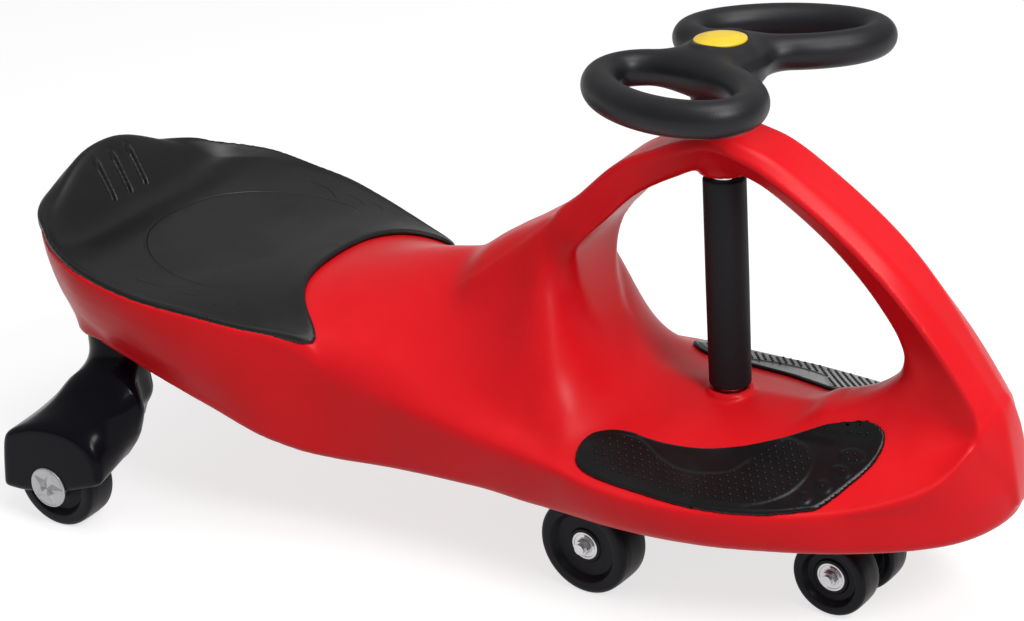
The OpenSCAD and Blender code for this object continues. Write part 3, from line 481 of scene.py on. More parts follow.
# a little dust that lies on faces turned upwards
settled_dust, given, wanted = node_group(
    "settled_dust",
    {"Place": "Vector", "Colour": "Color", "Dust Colour": "Color", "Amount": "Float"}, {"Colour": "Color"})
normal = put(settled_dust, "NewGeometry", {}).outputs["Normal"]
facing = put(settled_dust, "SeparateXYZ", {0: normal})
lying = step_of(facing.outputs[2], 0.3, 1.0)
drift = put(settled_dust, "TexNoise", {"Vector": given["Place"], "Scale": 46.0, "Detail": 6.0, "Roughness": 0.7})
lying = sum_of("MULTIPLY", lying, drift.outputs[0])
lying = sum_of("MULTIPLY", lying, given["Amount"], clamp=True)
colour = put(settled_dust, "Mix", {0: lying, 6: given["Colour"], 7: given["Dust Colour"]}, data_type="RGBA")
settled_dust.links.new(colour.outputs[2], wanted["Colour"])


def finish(name, colour, deep, rubbed, gloss, grain, wear, dust, **shader_values):
    """Moulded or plated finish: two shades of one colour, wear, dust and the mould's grain."""
    material = bpy.data.materials.new(name)
    material.use_nodes = True
    tree = material.node_tree
    shader = tree.nodes["Principled BSDF"]
    for label, value in shader_values.items():
        shader.inputs[label.replace("_", " ")].default_value = value
    place = put(tree, "TexCoord", {}).outputs["Object"]
    fineness, pebble, depth = grain
    texture = put(tree, "Group", {"Place": place, "Fineness": fineness, "Pebble": pebble},
                  node_tree=moulded_grain)
    shade = step_of(texture.outputs["Shade"], 0.35, 0.65)
    tint = put(tree, "Mix", {0: shade, 6: deep + (1,), 7: colour + (1,)}, data_type="RGBA")
    worn = put(tree, "Group",
               {"Place": place, "Colour": tint.outputs[2], "Rubbed Colour": rubbed + (1,), "Amount": wear,
                "Roughness": gloss[0], "Rubbed Roughness": gloss[1]}, node_tree=handling_wear)
    dusted = put(tree, "Group", {"Place": place, "Colour": worn.outputs["Colour"], "Amount": dust,
                                 "Dust Colour": (0.5, 0.48, 0.45, 1)}, node_tree=settled_dust)
    bump = put(tree, "Bump", {"Height": texture.outputs["Height"], "Strength": 1.0, "Distance": depth})
    tree.links.new(dusted.outputs["Colour"], shader.inputs["Base Color"])
    tree.links.new(worn.outputs["Roughness"], shader.inputs["Roughness"])
    tree.links.new(bump.outputs[0], shader.inputs["Normal"])
    return material


red_plastic = finish("red_moulded_plastic", (0.74, 0.008, 0.014), (0.68, 0.006, 0.011), (0.78, 0.03, 0.035),
                     (0.34, 0.42), (1400.0, 0.3, 0.00005), wear=0.2, dust=0.01, Specular_IOR_Level=0.16)
body = skin("body_shell_skin", body_field,
            (spaced(-588, (-300, 4), (-150, 3.2), (224, 2.5)), spaced(-156, (156, 2.6)),
             spaced(72, (104, 3.6), (354, 2.6))), red_plastic, rounds=3)
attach(body, "body")
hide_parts("body_shell")


# Seat
# One insert of matte black plastic, pegged to the deck behind a low red ledge: a shallow dish with a rolled rim
# and a high back with three grip slots. Its floor carries an engraved oval and three flicks on each side.
seat_thickness, slot_depth, edge_rounding = 5, 9.0, 3.2
slot_back, slot_front, slot_places = -553.0, -543.0, (-20.5, 0.0, 20.5)
oval_middle, oval_radius = -405, 95


def seat_field(x, y, z):
    side = np.abs(y)
    gap, under, slope = (on_plan(table, x, side) for table in (rim_gap, deck, deck_slope))
    reach = 6 + 5 * ramp(-x, 320, 480)
    top = under + seat_thickness + (0.9 + 3.1 * ramp(-x, 430, 520)) * ramp(gap, -reach, -2)
    for slot_y in slot_places:
        from_slot = np.hypot(x - np.clip(x, slot_back, slot_front), y - slot_y)
        top = top - slot_depth * (1 - ramp(from_slot, 1.8, 4.0))
    behind = ramp(-x, 535, 556)
    edge = rounded_max(gap + 1 - 2.5 * behind, on_plan(seat_front_gap, x, side), 18)
    sheet = rounded_max((z - top) / slope, edge, edge_rounding)
    lip = ramp(gap, -6, -2) * behind
    base = (under + 0.3 - on_plan(seat_bed, x, side)) * (1 - lip) + (look_along(rim_z, x) - 2) * lip
    return rounded_max(sheet, (base - z) / (slope * (1 - lip) + lip), 1)


# one engraved flick: a bowed leaf from a start along a line
engraved_flick, given, wanted = node_group(
    "engraved_flick",
    {"Place": "Vector", "Start": "Vector", "Along": "Vector", "Across": "Vector", "Length": "Float",
     "Width": "Float"}, {"Mask": "Float"})
offset = put(engraved_flick, "VectorMath", {0: given["Place"], 1: given["Start"]}, operation="SUBTRACT")
run, aside = (put(engraved_flick, "VectorMath", {0: offset, 1: given[label]},
                  operation="DOT_PRODUCT").outputs["Value"] for label in ("Along", "Across"))
run = sum_of("DIVIDE", run, given["Length"])
leaf = sum_of("MULTIPLY", run, sum_of("SUBTRACT", 1.0, run))
bow = sum_of("MULTIPLY", leaf, sum_of("MULTIPLY", given["Length"], 0.5))
bow = sum_of("SUBTRACT", aside, bow)
bow = put(engraved_flick, "Math", {0: bow}, operation="ABSOLUTE").outputs[0]
spread = sum_of("MULTIPLY", sum_of("MULTIPLY", leaf, 3.0), given["Width"])
spread = sum_of("SUBTRACT", spread, bow)
engraved_flick.links.new(step_of(spread, 0.0, 0.0007), wanted["Mask"])

seat_black = finish("seat_grained_black", (0.006, 0.0058, 0.0068), (0.0045, 0.0043, 0.005), (0.02, 0.019, 0.021),
                    (0.38, 0.5), (1500.0, 0.6, 0.00008), wear=0.3, dust=0.012, Specular_IOR_Level=0.36)
tree = seat_black.node_tree
place = next(n for n in tree.nodes if n.bl_idname == "ShaderNodeTexCoord").outputs["Object"]
parts = put(tree, "SeparateXYZ", {0: place}).outputs
either_side = put(tree, "Math", {0: parts[1]}, operation="ABSOLUTE").outputs[0]
folded = put(tree, "CombineXYZ", {0: parts[0], 1: either_side}).outputs[0]
oval = put(tree, "Mapping", {"Vector": folded, "Location": (-(oval_middle + column_x) / oval_radius, 0, 0),
                             "Scale": (1000 / oval_radius, 1000 / oval_radius, 0)})
oval = put(tree, "VectorMath", {0: oval}, operation="LENGTH").outputs["Value"]
oval = put(tree, "Math", {0: sum_of("SUBTRACT", oval, 1.0)}, operation="ABSOLUTE").outputs[0]
fading = step_of(parts[0], (column_x - 372) / 1000, (column_x - 402) / 1000)
engraving = sum_of("MULTIPLY", step_of(oval, 0.017, 0.007), fading)
for start, stop, width in (((-450, 116), (-404, 100), 1.6), ((-411, 113), (-376.5, 101.4), 1.3),
                           ((-380.6, 114), (-360, 103), 1.1)):
    step = np.subtract(stop, start)
    length = float(np.hypot(*step))
    flick = put(tree, "Group", {"Place": folded, "Start": ((start[0] + column_x) / 1000, start[1] / 1000, 0),
                                "Along": (step[0] / length, step[1] / length, 0),
                                "Across": (-step[1] / length, step[0] / length, 0),
                                "Length": length / 1000, "Width": width / 1000}, node_tree=engraved_flick)
    engraving = sum_of("MAXIMUM", engraving, flick.outputs[0])
bump = next(n for n in tree.nodes if n.bl_idname == "ShaderNodeBump")
groove = put(tree, "Bump", {"Height": engraving, "Distance": 0.0011, "Strength": 1.0, "Normal": bump}, invert=True)
tree.links.new(groove.outputs[0], tree.nodes["Principled BSDF"].inputs["Normal"])
seat = skin("seat_insert", seat_field,
            (spaced(-590, (-270, 1.9)), spaced(-152, (152, 1.9)), spaced(164, (286, 1.9))), seat_black)
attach(seat, "body")
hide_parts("seat")


# Foot pads
# Two foot-shaped plates of glossy black plastic, pegged to the floor pan. The sole and the toes stand a little
# proud and carry rows of small round studs for grip; the instep between them is left smooth.
pad_outline = [
    (-71.3, 107.8), (-73.6, 97), (-69.8, 84), (-59, 73.9), (-45.2, 69.8), (-32.5, 71), (-12.5, 71), (12, 67),
    (36, 57), (55.6, 45), (72.4, 34.9), (89.6, 29.4), (112, 27), (123.5, 28.4), (130.4, 32.6), (132, 41),
    (129.3, 54.8), (121.6, 69.7), (107.6, 94), (98, 100.4), (75.7, 110.5), (47.4, 118), (16.5, 121.8), (-12, 121),
    (-43, 119.4), (-59.3, 116.8), (-67.5, 112.8)]
pad_sole = [
    (-66, 101), (-67, 90), (-57, 79), (-42, 75), (-32, 77), (-11, 89), (10, 93), (36, 85), (46, 69), (57, 50),
    (65, 44), (80, 49), (88.5, 58.5), (90, 73), (85.6, 88), (75.5, 100), (61, 109), (45, 113), (16, 117),
    (-12, 116), (-43, 114), (-58, 110)]
# toes: x, y, half the length, half the width, and the splay in degrees
pad_toes = [
    (111.5, 34.5, 12, 5, 2), (114, 50.5, 9.5, 6, 12), (110.5, 65, 7.6, 5, 24), (104, 79, 6.2, 4.6, 36),
    (95, 91.5, 5.2, 4.2, 48)]
pad_rise, tread_rise, pad_rounding = 3.0, 0.55, 2.4
stud_pitch, row_pitch, stud_margin = 6.0, 5.0, 2.0
sides = (("left", 1), ("right", -1))
pan_x, pan_y = np.meshgrid(np.arange(-92.0, 148.0), np.arange(8.0, 134.0), indexing="ij")
# the floor pan with its fillets, found by stepping down to the body's skin
pan_deck = on_plan(deck, pan_x, pan_y)
pan_z = pan_deck + 25
for _ in range(70):
    pan_z = pan_z - 0.8 * body_field(pan_x, pan_y, pan_z)
pan_z = np.maximum(pan_z, pan_deck - 0.2)
pan_slope = np.sqrt(1 + steepness(pan_z))


def closed_gap(points, px, py):
    """Distance in millimetres from a closed outline, less than zero inside it."""
    line = smooth_line(points[-2:] + points + points[:2], 4)[4:-4]
    gap = nearest_on(line, px, py)[0]
    turning = np.sum(line[:-1, 0] * line[1:, 1] - line[1:, 0] * line[:-1, 1])
    return gap if turning < 0 else -gap


def toe_gap(toe, px, py):
    """Distance from a toe's oval, less than zero inside it."""
    x, y, half_long, half_wide, splay = toe
    c, s = math.cos(math.radians(splay)), math.sin(math.radians(splay))
    u, v = (px - x) * c + (py - y) * s, (py - y) * c - (px - x) * s
    return (np.hypot(u / half_long, v / half_wide) - 1) * half_wide


def on_pan(table, x, y):
    return look_up(table, x - pan_x[0, 0], y - pan_y[0, 0])


pad_gap, sole_gap = (closed_gap(line, pan_x, pan_y) for line in (pad_outline, pad_sole))
tread_gap = np.minimum(sole_gap, np.min([toe_gap(toe, pan_x, pan_y) for toe in pad_toes], axis=0))
pad_top = pan_z + pad_rise + tread_rise * ramp(-tread_gap, -0.5, 0.7)


def pad_field(x, y, z):
    y = np.abs(y)
    slope = on_pan(pan_slope, x, y)
    plate = rounded_max((z - on_pan(pad_top, x, y)) / slope, on_pan(pad_gap, x, y), pad_rounding)
    return rounded_max(plate, (on_pan(pan_z, x, y) + 0.2 - z) / slope, 0.6)


stud_x, stud_y = np.meshgrid(np.arange(-80.0, 134.0, stud_pitch), np.arange(14.0, 124.0, row_pitch), indexing="ij")
stud_x = stud_x + 0.5 * stud_pitch * (np.arange(stud_x.shape[1]) % 2)[None, :]
studded = on_pan(tread_gap, stud_x, stud_y) < -stud_margin
stud_x, stud_y = stud_x[studded], stud_y[studded]
stud_z = on_pan(pad_top, stud_x, stud_y)
pad_black = finish("pad_glossy_black", (0.005, 0.005, 0.006), (0.004, 0.004, 0.005), (0.025, 0.025, 0.026),
                   (0.2, 0.34), (1100.0, 0.2, 0.00004), wear=0.25, dust=0.015, Specular_IOR_Level=0.25)

pad_studs, given, wanted = node_group(
    "pad_studs", {"Geometry": "Geometry", "Stud Radius": "Float", "Stud Height": "Float"},
    {"Geometry": "Geometry"}, kind="GeometryNodeTree")
dome = put(pad_studs, "GeometryNodeMeshUVSphere", {"Segments": 8, "Rings": 5, "Radius": 1.0})
squat = put(pad_studs, "CombineXYZ", {0: given["Stud Radius"], 1: given["Stud Radius"], 2: given["Stud Height"]})
spots = put(pad_studs, "GeometryNodeMeshToPoints", {"Mesh": given["Geometry"]})
planted = put(pad_studs, "GeometryNodeInstanceOnPoints", {"Points": spots, "Instance": dome, "Scale": squat})
planted = put(pad_studs, "GeometryNodeRealizeInstances", {0: planted})
planted = put(pad_studs, "GeometryNodeSetShadeSmooth", {0: planted})
painted = put(pad_studs, "GeometryNodeSetMaterial", {0: planted, "Material": pad_black})
pad_studs.links.new(painted.outputs[0], wanted["Geometry"])


def grown(name, points, tree, values):
    """Plain mesh object of what a Geometry Nodes tree makes from loose points, with the modifier's work kept."""
    seeds = bpy.data.meshes.new(name + "_seeds")
    seeds.from_pydata([tuple(p) for p in points], [], [])
    made = placed(name, seeds)
    modifier = made.modifiers.new("growth", "NODES")
    modifier.node_group = tree
    for socket in tree.interface.items_tree:
        if socket.name in values:
            modifier[socket.identifier] = values[socket.name]
    bpy.context.view_layer.update()
    plain = bpy.data.meshes.new_from_object(made.evaluated_get(bpy.context.evaluated_depsgraph_get()))
    made.modifiers.clear()
    made.data = plain
    plain.name = name
    return made


for side, sign in sides:
    low, high = sorted((sign * 8, sign * 128))
    pad = skin(f"foot_pad_{side}_plate", pad_field,
               (spaced(-82, (140, 1.4)), spaced(low, (high, 1.4)), spaced(104, (180, 1.4))), pad_black)
    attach(pad, "body")
    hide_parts(f"foot_pad_{side}")
    studs = grown(f"foot_pad_{side}_studs", np.stack([stud_x + column_x, sign * stud_y, stud_z], 1) / 1000,
                  pad_studs, {"Stud Radius": 0.0013, "Stud Height": 0.0009})
    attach(studs, "body")


# Rear arms
# Glossy black mouldings: a round post pushed up into the body's socket, a shoulder that sweeps outward, and a
# round hood over the wheel, with an inner cheek and an outer plate that hold the two ends of the axle.
rear_axle_x, rear_axle_z = -524.0, 38.0
post_radius, post_middle, post_half = 23, 149, 48.5
hood_middle, hood_half, shoulder_middle, shoulder_half = 138.1, 25.3, 105, 21
well_radius, well_middle, well_half, axle_bore = 42, 142.1, 16.3, 4.1
mouth_middle, mouth_half = -513.5, 52.5
# side views of the hood over the wheel, of the sweep up to the post, and of the shoulder under the body
hood_side = [
    (-470, 51), (-469, 62), (-472, 73), (-478.5, 82), (-490, 88.5), (-503, 91.5), (-518, 92), (-534, 90),
    (-547, 86), (-557, 82), (-564, 77.5), (-567.5, 71), (-570, 60), (-572, 48), (-573.5, 38), (-574, 33),
    (-573, 29.5), (-569.5, 28), (-563, 27.5), (-553, 27.5), (-540, 29), (-524, 32), (-508, 35), (-492, 40),
    (-478, 45)]
sweep_side = [
    (-459, 112), (-455, 98), (-462, 81), (-470, 66), (-480, 52), (-500, 41), (-524, 33), (-548, 29), (-563, 27.5),
    (-571, 27.5), (-575.5, 29.5), (-577, 34), (-577, 42), (-577, 53), (-575.5, 65), (-570, 74), (-555, 87),
    (-538, 101), (-521, 113), (-508, 119), (-493, 121), (-478, 121), (-466, 118)]
shoulder_side = [
    (-476, 112), (-473, 98), (-478, 76), (-504, 70), (-518, 78), (-520, 104), (-509, 116), (-480, 119)]
arm_x, arm_z = np.meshgrid(np.arange(-600.0, -429.0), np.arange(0.0, 211.0), indexing="ij")
hood_gap, sweep_gap, shoulder_gap = (
    closed_gap(outline, arm_x, arm_z) for outline in (hood_side, sweep_side, shoulder_side))


def on_arm(table, x, z):
    return look_up(table, x - arm_x[0, 0], z - arm_z[0, 0])


def arm_field(x, y, z):
    """Less than zero inside the arm: post, hood and shoulder, less the wheel's well and the axle's bore."""
    y = np.abs(y)
    low = ramp(-z, -165, -125)
    from_post = np.hypot(x - socket_x + 2.5 * low, y - socket_y - 1.5 * low) - post_radius + 2.5 * low
    post = rounded_max(from_post, np.abs(z - post_middle) - post_half, 8)
    outward = np.clip((y - 121) / 40, 0, 1)
    side = on_arm(sweep_gap, x, z) * (1 - outward) + on_arm(hood_gap, x, z) * outward
    hood = rounded_max(side, np.abs(y - hood_middle) - hood_half, 7)
    shoulder = rounded_max(on_arm(shoulder_gap, x, z), np.abs(y - shoulder_middle) - shoulder_half, 14)
    arm = rounded_min(rounded_min(hood, shoulder, 24), post, 20)
    arm = np.where(z > 150, post, arm)
    from_axle = np.hypot(x - rear_axle_x, z - rear_axle_z)
    between = np.abs(y - well_middle) - well_half
    well = np.maximum(from_axle - well_radius, between)
    mouth = np.maximum(np.maximum(np.abs(x - mouth_middle) - mouth_half, z - rear_axle_z), between)
    arm = rounded_max(arm, -np.minimum(well, mouth), 2)
    return np.maximum(arm, axle_bore - from_axle)


arm_black = finish("arm_glossy_black", (0.004, 0.004, 0.007), (0.003, 0.003, 0.006), (0.012, 0.012, 0.016),
                   (0.2, 0.3), (900.0, 0.2, 0.00003), wear=0.2, dust=0.008, Specular_IOR_Level=0.09)
for side, sign in sides:
    low, high = sorted((sign * 66, sign * 168))
    arm = skin(f"rear_arm_{side}_moulding", arm_field,
               (spaced(-586, (-440, 1.8)), spaced(low, (high, 1.8)), spaced(16, (202, 1.8))), arm_black)
    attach(arm, "body")
    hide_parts(f"rear_arm_{side}")


# Wheels
# Six wheels cast in black polyurethane, with round shoulders and a deep dish in each face. Two ball bearings are
# pressed into each wheel, one from either side.
def eased(corners):
    """Profile with each corner rounded: corners are (radius, height, rounding)."""
    out, count = [], len(corners)
    for i, (r, h, ease) in enumerate(corners):
        here = np.array((r, h), float)
        before, after = (np.array(corners[(i + d) % count][:2], float) - here for d in (-1, 1))
        if ease == 0:
            out.append(here)
            continue
        a, b = (v / np.linalg.norm(v) for v in (before, after))
        half = 0.5 * math.acos(np.clip(a @ b, -1, 1))
        reach = min(ease / math.tan(half), 0.49 * np.linalg.norm(before), 0.49 * np.linalg.norm(after))
        for f in np.linspace(0, 1, 3 + int(ease)):
            out.append((1 - f) ** 2 * (here + a * reach) + 2 * f * (1 - f) * here + f ** 2 * (here + b * reach))
    return np.array(out)


def turned(name, profiles, centre, axis, material, count=72):
    """Rings turned about an axis from closed profiles of (radius, height along the axis), in millimetres."""
    axis = Vector(axis).normalized()
    first = axis.orthogonal().normalized()
    directions = np.array((first, axis.cross(first), axis))
    angles = np.linspace(0, 2 * np.pi, count, endpoint=False)
    points, faces = [], []
    for profile in profiles:
        radius, height = np.array(profile).T
        ring = np.stack([np.outer(np.cos(angles), radius), np.outer(np.sin(angles), radius),
                         np.tile(height, (count, 1))], 2)
        here = len(points) + np.arange(ring[..., 0].size).reshape(count, -1)
        beside = np.roll(here, -1, 0)
        faces += np.stack([here, beside, np.roll(beside, -1, 1), np.roll(here, -1, 1)], 2).reshape(-1, 4).tolist()
        points += ((ring.reshape(-1, 3) @ directions + np.array(centre)) * 0.001).tolist()
    mesh = bpy.data.meshes.new(name)
    mesh.from_pydata(points, [], faces)
    mesh.validate()
    shell = bmesh.new()
    shell.from_mesh(mesh)
    bmesh.ops.remove_doubles(shell, verts=shell.verts, dist=1e-7)
    bmesh.ops.recalc_face_normals(shell, faces=shell.faces)
    shell.to_mesh(mesh)
    shell.free()
    mesh.shade_smooth()
    mesh.materials.append(material)
    return placed(name, mesh)


wheel_black = finish("wheel_cast_black", (0.007, 0.007, 0.011), (0.005, 0.005, 0.008), (0.025, 0.025, 0.028),
                     (0.34, 0.48), (800.0, 0.4, 0.00006), wear=0.3, dust=0.012, Specular_IOR_Level=0.13)
bearing_steel = finish("bearing_ground_steel", (0.6, 0.6, 0.61), (0.5, 0.5, 0.52), (0.4, 0.38, 0.36),
                       (0.18, 0.3), (2400.0, 0.1, 0.00002), wear=0.4, dust=0.03, Metallic=1.0)
steer_turn = math.radians(-7)
steer_c, steer_s = math.cos(steer_turn), math.sin(steer_turn)
steer_axis = (-steer_s, steer_c, 0)


def steered(x, y, z):
    """Place of a point that the steering carries, from its place when the wheels point straight ahead."""
    return (column_x + steer_c * x - steer_s * y, steer_s * x + steer_c * y, z)


# one bearing's section, from its outer face inwards: radius, height and rounding
race = [(4.05, 0, 0.3), (6.3, 0, 0.2), (6.5, -0.7, 0.1), (9.0, -0.7, 0.1), (9.2, 0, 0.2), (11, 0, 0.4), (11, -7, 0),
        (4.05, -7, 0)]
wheel_places = []
for side, sign in sides:
    wheel_places += [("front", side, steered(-73.6, sign * 78, 38), steer_axis, 76, 31),
                     ("safety", side, steered(97, sign * 21, 31), steer_axis, 59, 24),
                     ("rear", side, (column_x + rear_axle_x, sign * 142.6, rear_axle_z), (0, 1, 0), 76, 30)]
for row, side, centre, axis, across_wheel, width in wheel_places:
    node, bearing_node = f"{row}_wheel_{side}", f"{row}_bearings_{side}"
    r, half = across_wheel / 2, width / 2
    face = [(8, half - 11, 0), (11, half - 11, 0), (11, half - 4.3, 0.3), (13, half - 4.3, 0.6),
            (14, half - 5.8, 0.6), (r * 0.64, half - 5.8, 1.6), (r * 0.74, half, 1.6), (r - 0.5, half, 7.0)]
    tread = [(r, half * 0.4, 6.0), (r, -half * 0.4, 6.0)]
    section = eased(face + tread + [(a, -b, c) for a, b, c in face[::-1]])
    wheel = turned(node + "_tyre", [section], centre, axis, wheel_black, 96)
    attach(wheel, node)
    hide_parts(node)
    pair = [eased([(a, sign * (b + half - 4), c) for a, b, c in race]) for sign in (1, -1)]
    bearings = turned(bearing_node + "_race", pair, centre, axis, bearing_steel, 48)
    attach(bearings, node)
    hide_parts(bearing_node)


# Rear wheel caps
# Round caps of silver-coloured plastic over the heads of the rear axles, on the outer plates: flat discs with a
# rolled rim and a plain five-rayed star raised on the face.
cap_silver = finish("cap_silver_paint", (0.5, 0.5, 0.51), (0.45, 0.45, 0.46), (0.36, 0.36, 0.37),
                    (0.3, 0.42), (1800.0, 0.2, 0.00003), wear=0.3, dust=0.03, Metallic=0.6)
# the star: kites set round a point, raised on the face and turned to the side
cap_star, given, wanted = node_group(
    "cap_star", {"Geometry": "Geometry", "Ray Count": "Int", "Ray Length": "Float", "Ray Width": "Float",
                 "Ray Height": "Float", "Facing": "Float"}, {"Geometry": "Geometry"}, kind="GeometryNodeTree")
kite_middle = 0.62
kite = put(cap_star, "GeometryNodeMeshCone", {"Vertices": 4, "Radius Bottom": 1.0, "Radius Top": 0.0, "Depth": 1.0})
kite = put(cap_star, "GeometryNodeTransform", {"Geometry": kite, "Translation": (kite_middle, 0, 0)})
kite_long = sum_of("MULTIPLY", given["Ray Length"], kite_middle)
kite_size = put(cap_star, "CombineXYZ", {0: kite_long, 1: given["Ray Width"], 2: given["Ray Height"]})
kite = put(cap_star, "GeometryNodeTransform", {"Geometry": kite, "Scale": kite_size})
spots = put(cap_star, "GeometryNodeMeshLine", {"Count": given["Ray Count"], "Offset": (0, 0, 0)})
step = sum_of("DIVIDE", 2 * math.pi, given["Ray Count"])
angle = sum_of("MULTIPLY", put(cap_star, "GeometryNodeInputIndex", {}).outputs[0], step)
angle = put(cap_star, "CombineXYZ", {2: angle})
star = put(cap_star, "GeometryNodeInstanceOnPoints", {"Points": spots, "Instance": kite, "Rotation": angle})
star = put(cap_star, "GeometryNodeRealizeInstances", {0: star})
stood = put(cap_star, "CombineXYZ", {0: sum_of("MULTIPLY", given["Facing"], -0.5 * math.pi)})
star = put(cap_star, "GeometryNodeTransform", {"Geometry": star, "Rotation": stood})
spot = put(cap_star, "GeometryNodeInputPosition", {})
carried = put(cap_star, "GeometryNodeSampleIndex",
              {"Geometry": given["Geometry"], "Value": spot, "Index": 0}, data_type="FLOAT_VECTOR")
star = put(cap_star, "GeometryNodeTransform", {"Geometry": star, "Translation": carried})
painted = put(cap_star, "GeometryNodeSetMaterial", {0: star, "Material": cap_silver})
cap_star.links.new(painted.outputs[0], wanted["Geometry"])
cap_x, cap_face, star_lift = column_x + rear_axle_x, 163.4, 1.3
cap_section = eased([(0, 0.02, 0), (17, 0.02, 0), (17, 1.2, 0.5), (16, 1.7, 0.5), (14.9, 1.2, 0.4), (0, 1.6, 0)])
for side, sign in sides:
    cap = turned(f"rear_wheel_cap_{side}_dome", [cap_section], (cap_x, sign * cap_face, rear_axle_z),
                 (0, sign, 0), cap_silver, 64)
    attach(cap, "body")
    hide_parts(f"rear_wheel_cap_{side}")
    middle = np.array((cap_x, sign * (cap_face + star_lift), rear_axle_z)) / 1000
    star = grown(f"rear_wheel_cap_{side}_star", [middle], cap_star,
                 {"Ray Count": 5, "Ray Length": 0.0156, "Ray Width": 0.0044, "Ray Height": 0.0026,
                  "Facing": float(sign)})
    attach(star, "body")


# Column sleeve
# A soft black tube slipped over the steering column between the floor and the arch, with round ends. It turns
# with the column.
sleeve_black = finish("sleeve_soft_black", (0.006, 0.006, 0.008), (0.004, 0.004, 0.006), (0.02, 0.02, 0.022),
                      (0.6, 0.72), (1300.0, 0.8, 0.00016), wear=0.3, dust=0.03, Specular_IOR_Level=0.25)
sleeve_section = eased([(11.05, 150.4, 0), (15.4, 150.4, 4.0), (15.6, 230, 60), (15.4, 308.5, 4.0),
                        (11.05, 308.5, 0)])
sleeve = turned("column_sleeve_tube", [sleeve_section], (column_x, 0, 0), (0, 0, 1), sleeve_black)
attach(sleeve, "steering")
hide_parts("column_sleeve")


# Steering wheel
# One thick black moulding shaped like a butterfly: two oval loops, splayed so that their front ends lean
# outward, grown into a domed hub that is bolted to the top of the column.
loop_turn, loop_long, loop_wide, loop_middle = math.radians(23), 66.5, 39.5, (7.5, 71.5)
tube_radius, tube_z = 12.5, 391
hub_z, hub_radius = [349, 369, 381, 391, 398, 403, 406.5], [20, 22, 31, 34, 31, 25, 19.4]
hub_low, hub_high, column_bore, column_top, bolt_recess, recess_floor = 349, 406, 11.05, 383, 15.1, 393
loop_t = np.linspace(0, 2 * np.pi, 97)
loop_u, loop_v = loop_long * np.cos(loop_t), loop_wide * np.sin(loop_t)
loop_line = np.stack([loop_middle[0] + loop_u * math.cos(loop_turn) - loop_v * math.sin(loop_turn),
                      loop_middle[1] + loop_u * math.sin(loop_turn) + loop_v * math.cos(loop_turn)], 1)
wheel_x, wheel_y = np.meshgrid(np.arange(-100.0, 131.0), np.arange(0.0, 151.0), indexing="ij")
loop_gap = np.abs(nearest_on(loop_line, wheel_x, wheel_y)[0])


def steering_wheel_field(x, y, z):
    x, y = steer_c * x + steer_s * y, np.abs(-steer_s * x + steer_c * y)
    tube = np.hypot(look_up(loop_gap, x - wheel_x[0, 0], y), z - tube_z) - tube_radius
    ring = np.hypot(x, y)
    hub = (ring - np.interp(z, hub_z, hub_radius)) * 0.75
    hub = np.maximum(np.maximum(hub, z - hub_high), hub_low - z)
    grip = rounded_min(tube, hub, 16)
    bore = np.minimum(column_bore - ring, column_top - z)
    recess = np.minimum(bolt_recess - ring, z - recess_floor)
    return np.maximum(np.maximum(grip, bore), recess)


grip_black = finish("grip_grained_black", (0.008, 0.008, 0.011), (0.006, 0.006, 0.008), (0.022, 0.022, 0.026),
                    (0.42, 0.56), (1200.0, 0.7, 0.00012), wear=0.25, dust=0.02, Specular_IOR_Level=0.32)
steering_wheel = skin("steering_wheel_moulding", steering_wheel_field,
                      (spaced(-80, (106, 2)), spaced(-136, (136, 2)), spaced(345, (412, 2))), grip_black)
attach(steering_wheel, "steering")
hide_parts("steering_wheel")


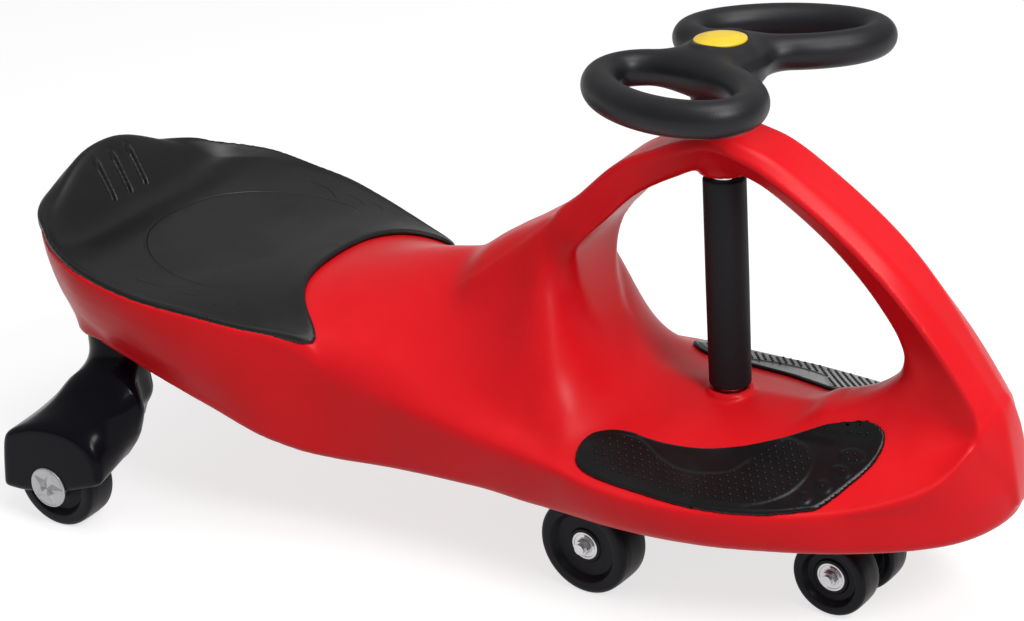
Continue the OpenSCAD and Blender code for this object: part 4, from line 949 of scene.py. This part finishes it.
# Steering wheel cap
# A domed cap of satin yellow plastic with a short skirt, moulded in one piece and pressed into the hub over the
# bolt. It turns with the steering wheel.
cap_yellow = finish("cap_satin_yellow", (0.84, 0.6, 0.025), (0.78, 0.53, 0.02), (0.86, 0.68, 0.2),
                    (0.3, 0.42), (1500.0, 0.3, 0.00005), wear=0.25, dust=0.02)
cap_section = eased([(0, 403, 0), (15, 403, 0), (15, 406.1, 0), (18.5, 406.1, 0.4), (18.5, 408, 1.4),
                     (9.2, 410.6, 8.0), (0, 411, 0)])
cap = turned("steering_wheel_cap_dome", [cap_section], (column_x, 0, 0), (0, 0, 1), cap_yellow)
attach(cap, "steering")
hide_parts("steering_wheel_cap")


# Column, carriage and fittings
# The plated column, the powder-coated carriage under the nose, the plastic bushes, and the zinc-plated bolts,
# nuts, spacers, washers and axles keep the shapes of the solid model.
column_chrome = finish("column_bright_plating", (0.74, 0.74, 0.76), (0.66, 0.66, 0.68), (0.5, 0.49, 0.48),
                       (0.08, 0.2), (900.0, 0.1, 0.00001), wear=0.35, dust=0.02, Metallic=1.0)
yoke_black = finish("yoke_powder_coat", (0.02, 0.02, 0.022), (0.015, 0.015, 0.017), (0.08, 0.078, 0.075),
                    (0.42, 0.55), (1600.0, 0.6, 0.0001), wear=0.4, dust=0.12)
bush_plastic = finish("bush_moulded_grey", (0.05, 0.05, 0.055), (0.04, 0.04, 0.044), (0.1, 0.1, 0.1),
                      (0.4, 0.5), (1200.0, 0.3, 0.00004), wear=0.3, dust=0.03)
zinc_steel = finish("zinc_plated_steel", (0.6, 0.6, 0.61), (0.5, 0.5, 0.53), (0.36, 0.34, 0.32),
                    (0.24, 0.42), (2000.0, 0.2, 0.00002), wear=0.5, dust=0.04, Metallic=1.0)
kept = {"steering_column": column_chrome, "front_yoke": yoke_black, "upper_bush": bush_plastic,
        "lower_bush": bush_plastic}
for name in ("steering_wheel_bolt", "steering_wheel_washer", "thrust_washer", "yoke_pin", "front_axle",
             "front_spacers", "front_nuts", "safety_axle", "safety_spacers", "safety_nuts", "arm_bolts",
             "rear_axle_left", "rear_axle_right", "rear_spacers", "rear_nuts"):
    kept[name] = zinc_steel
for name, material in kept.items():
    for slot in nodes[name].material_slots:
        slot.material = material
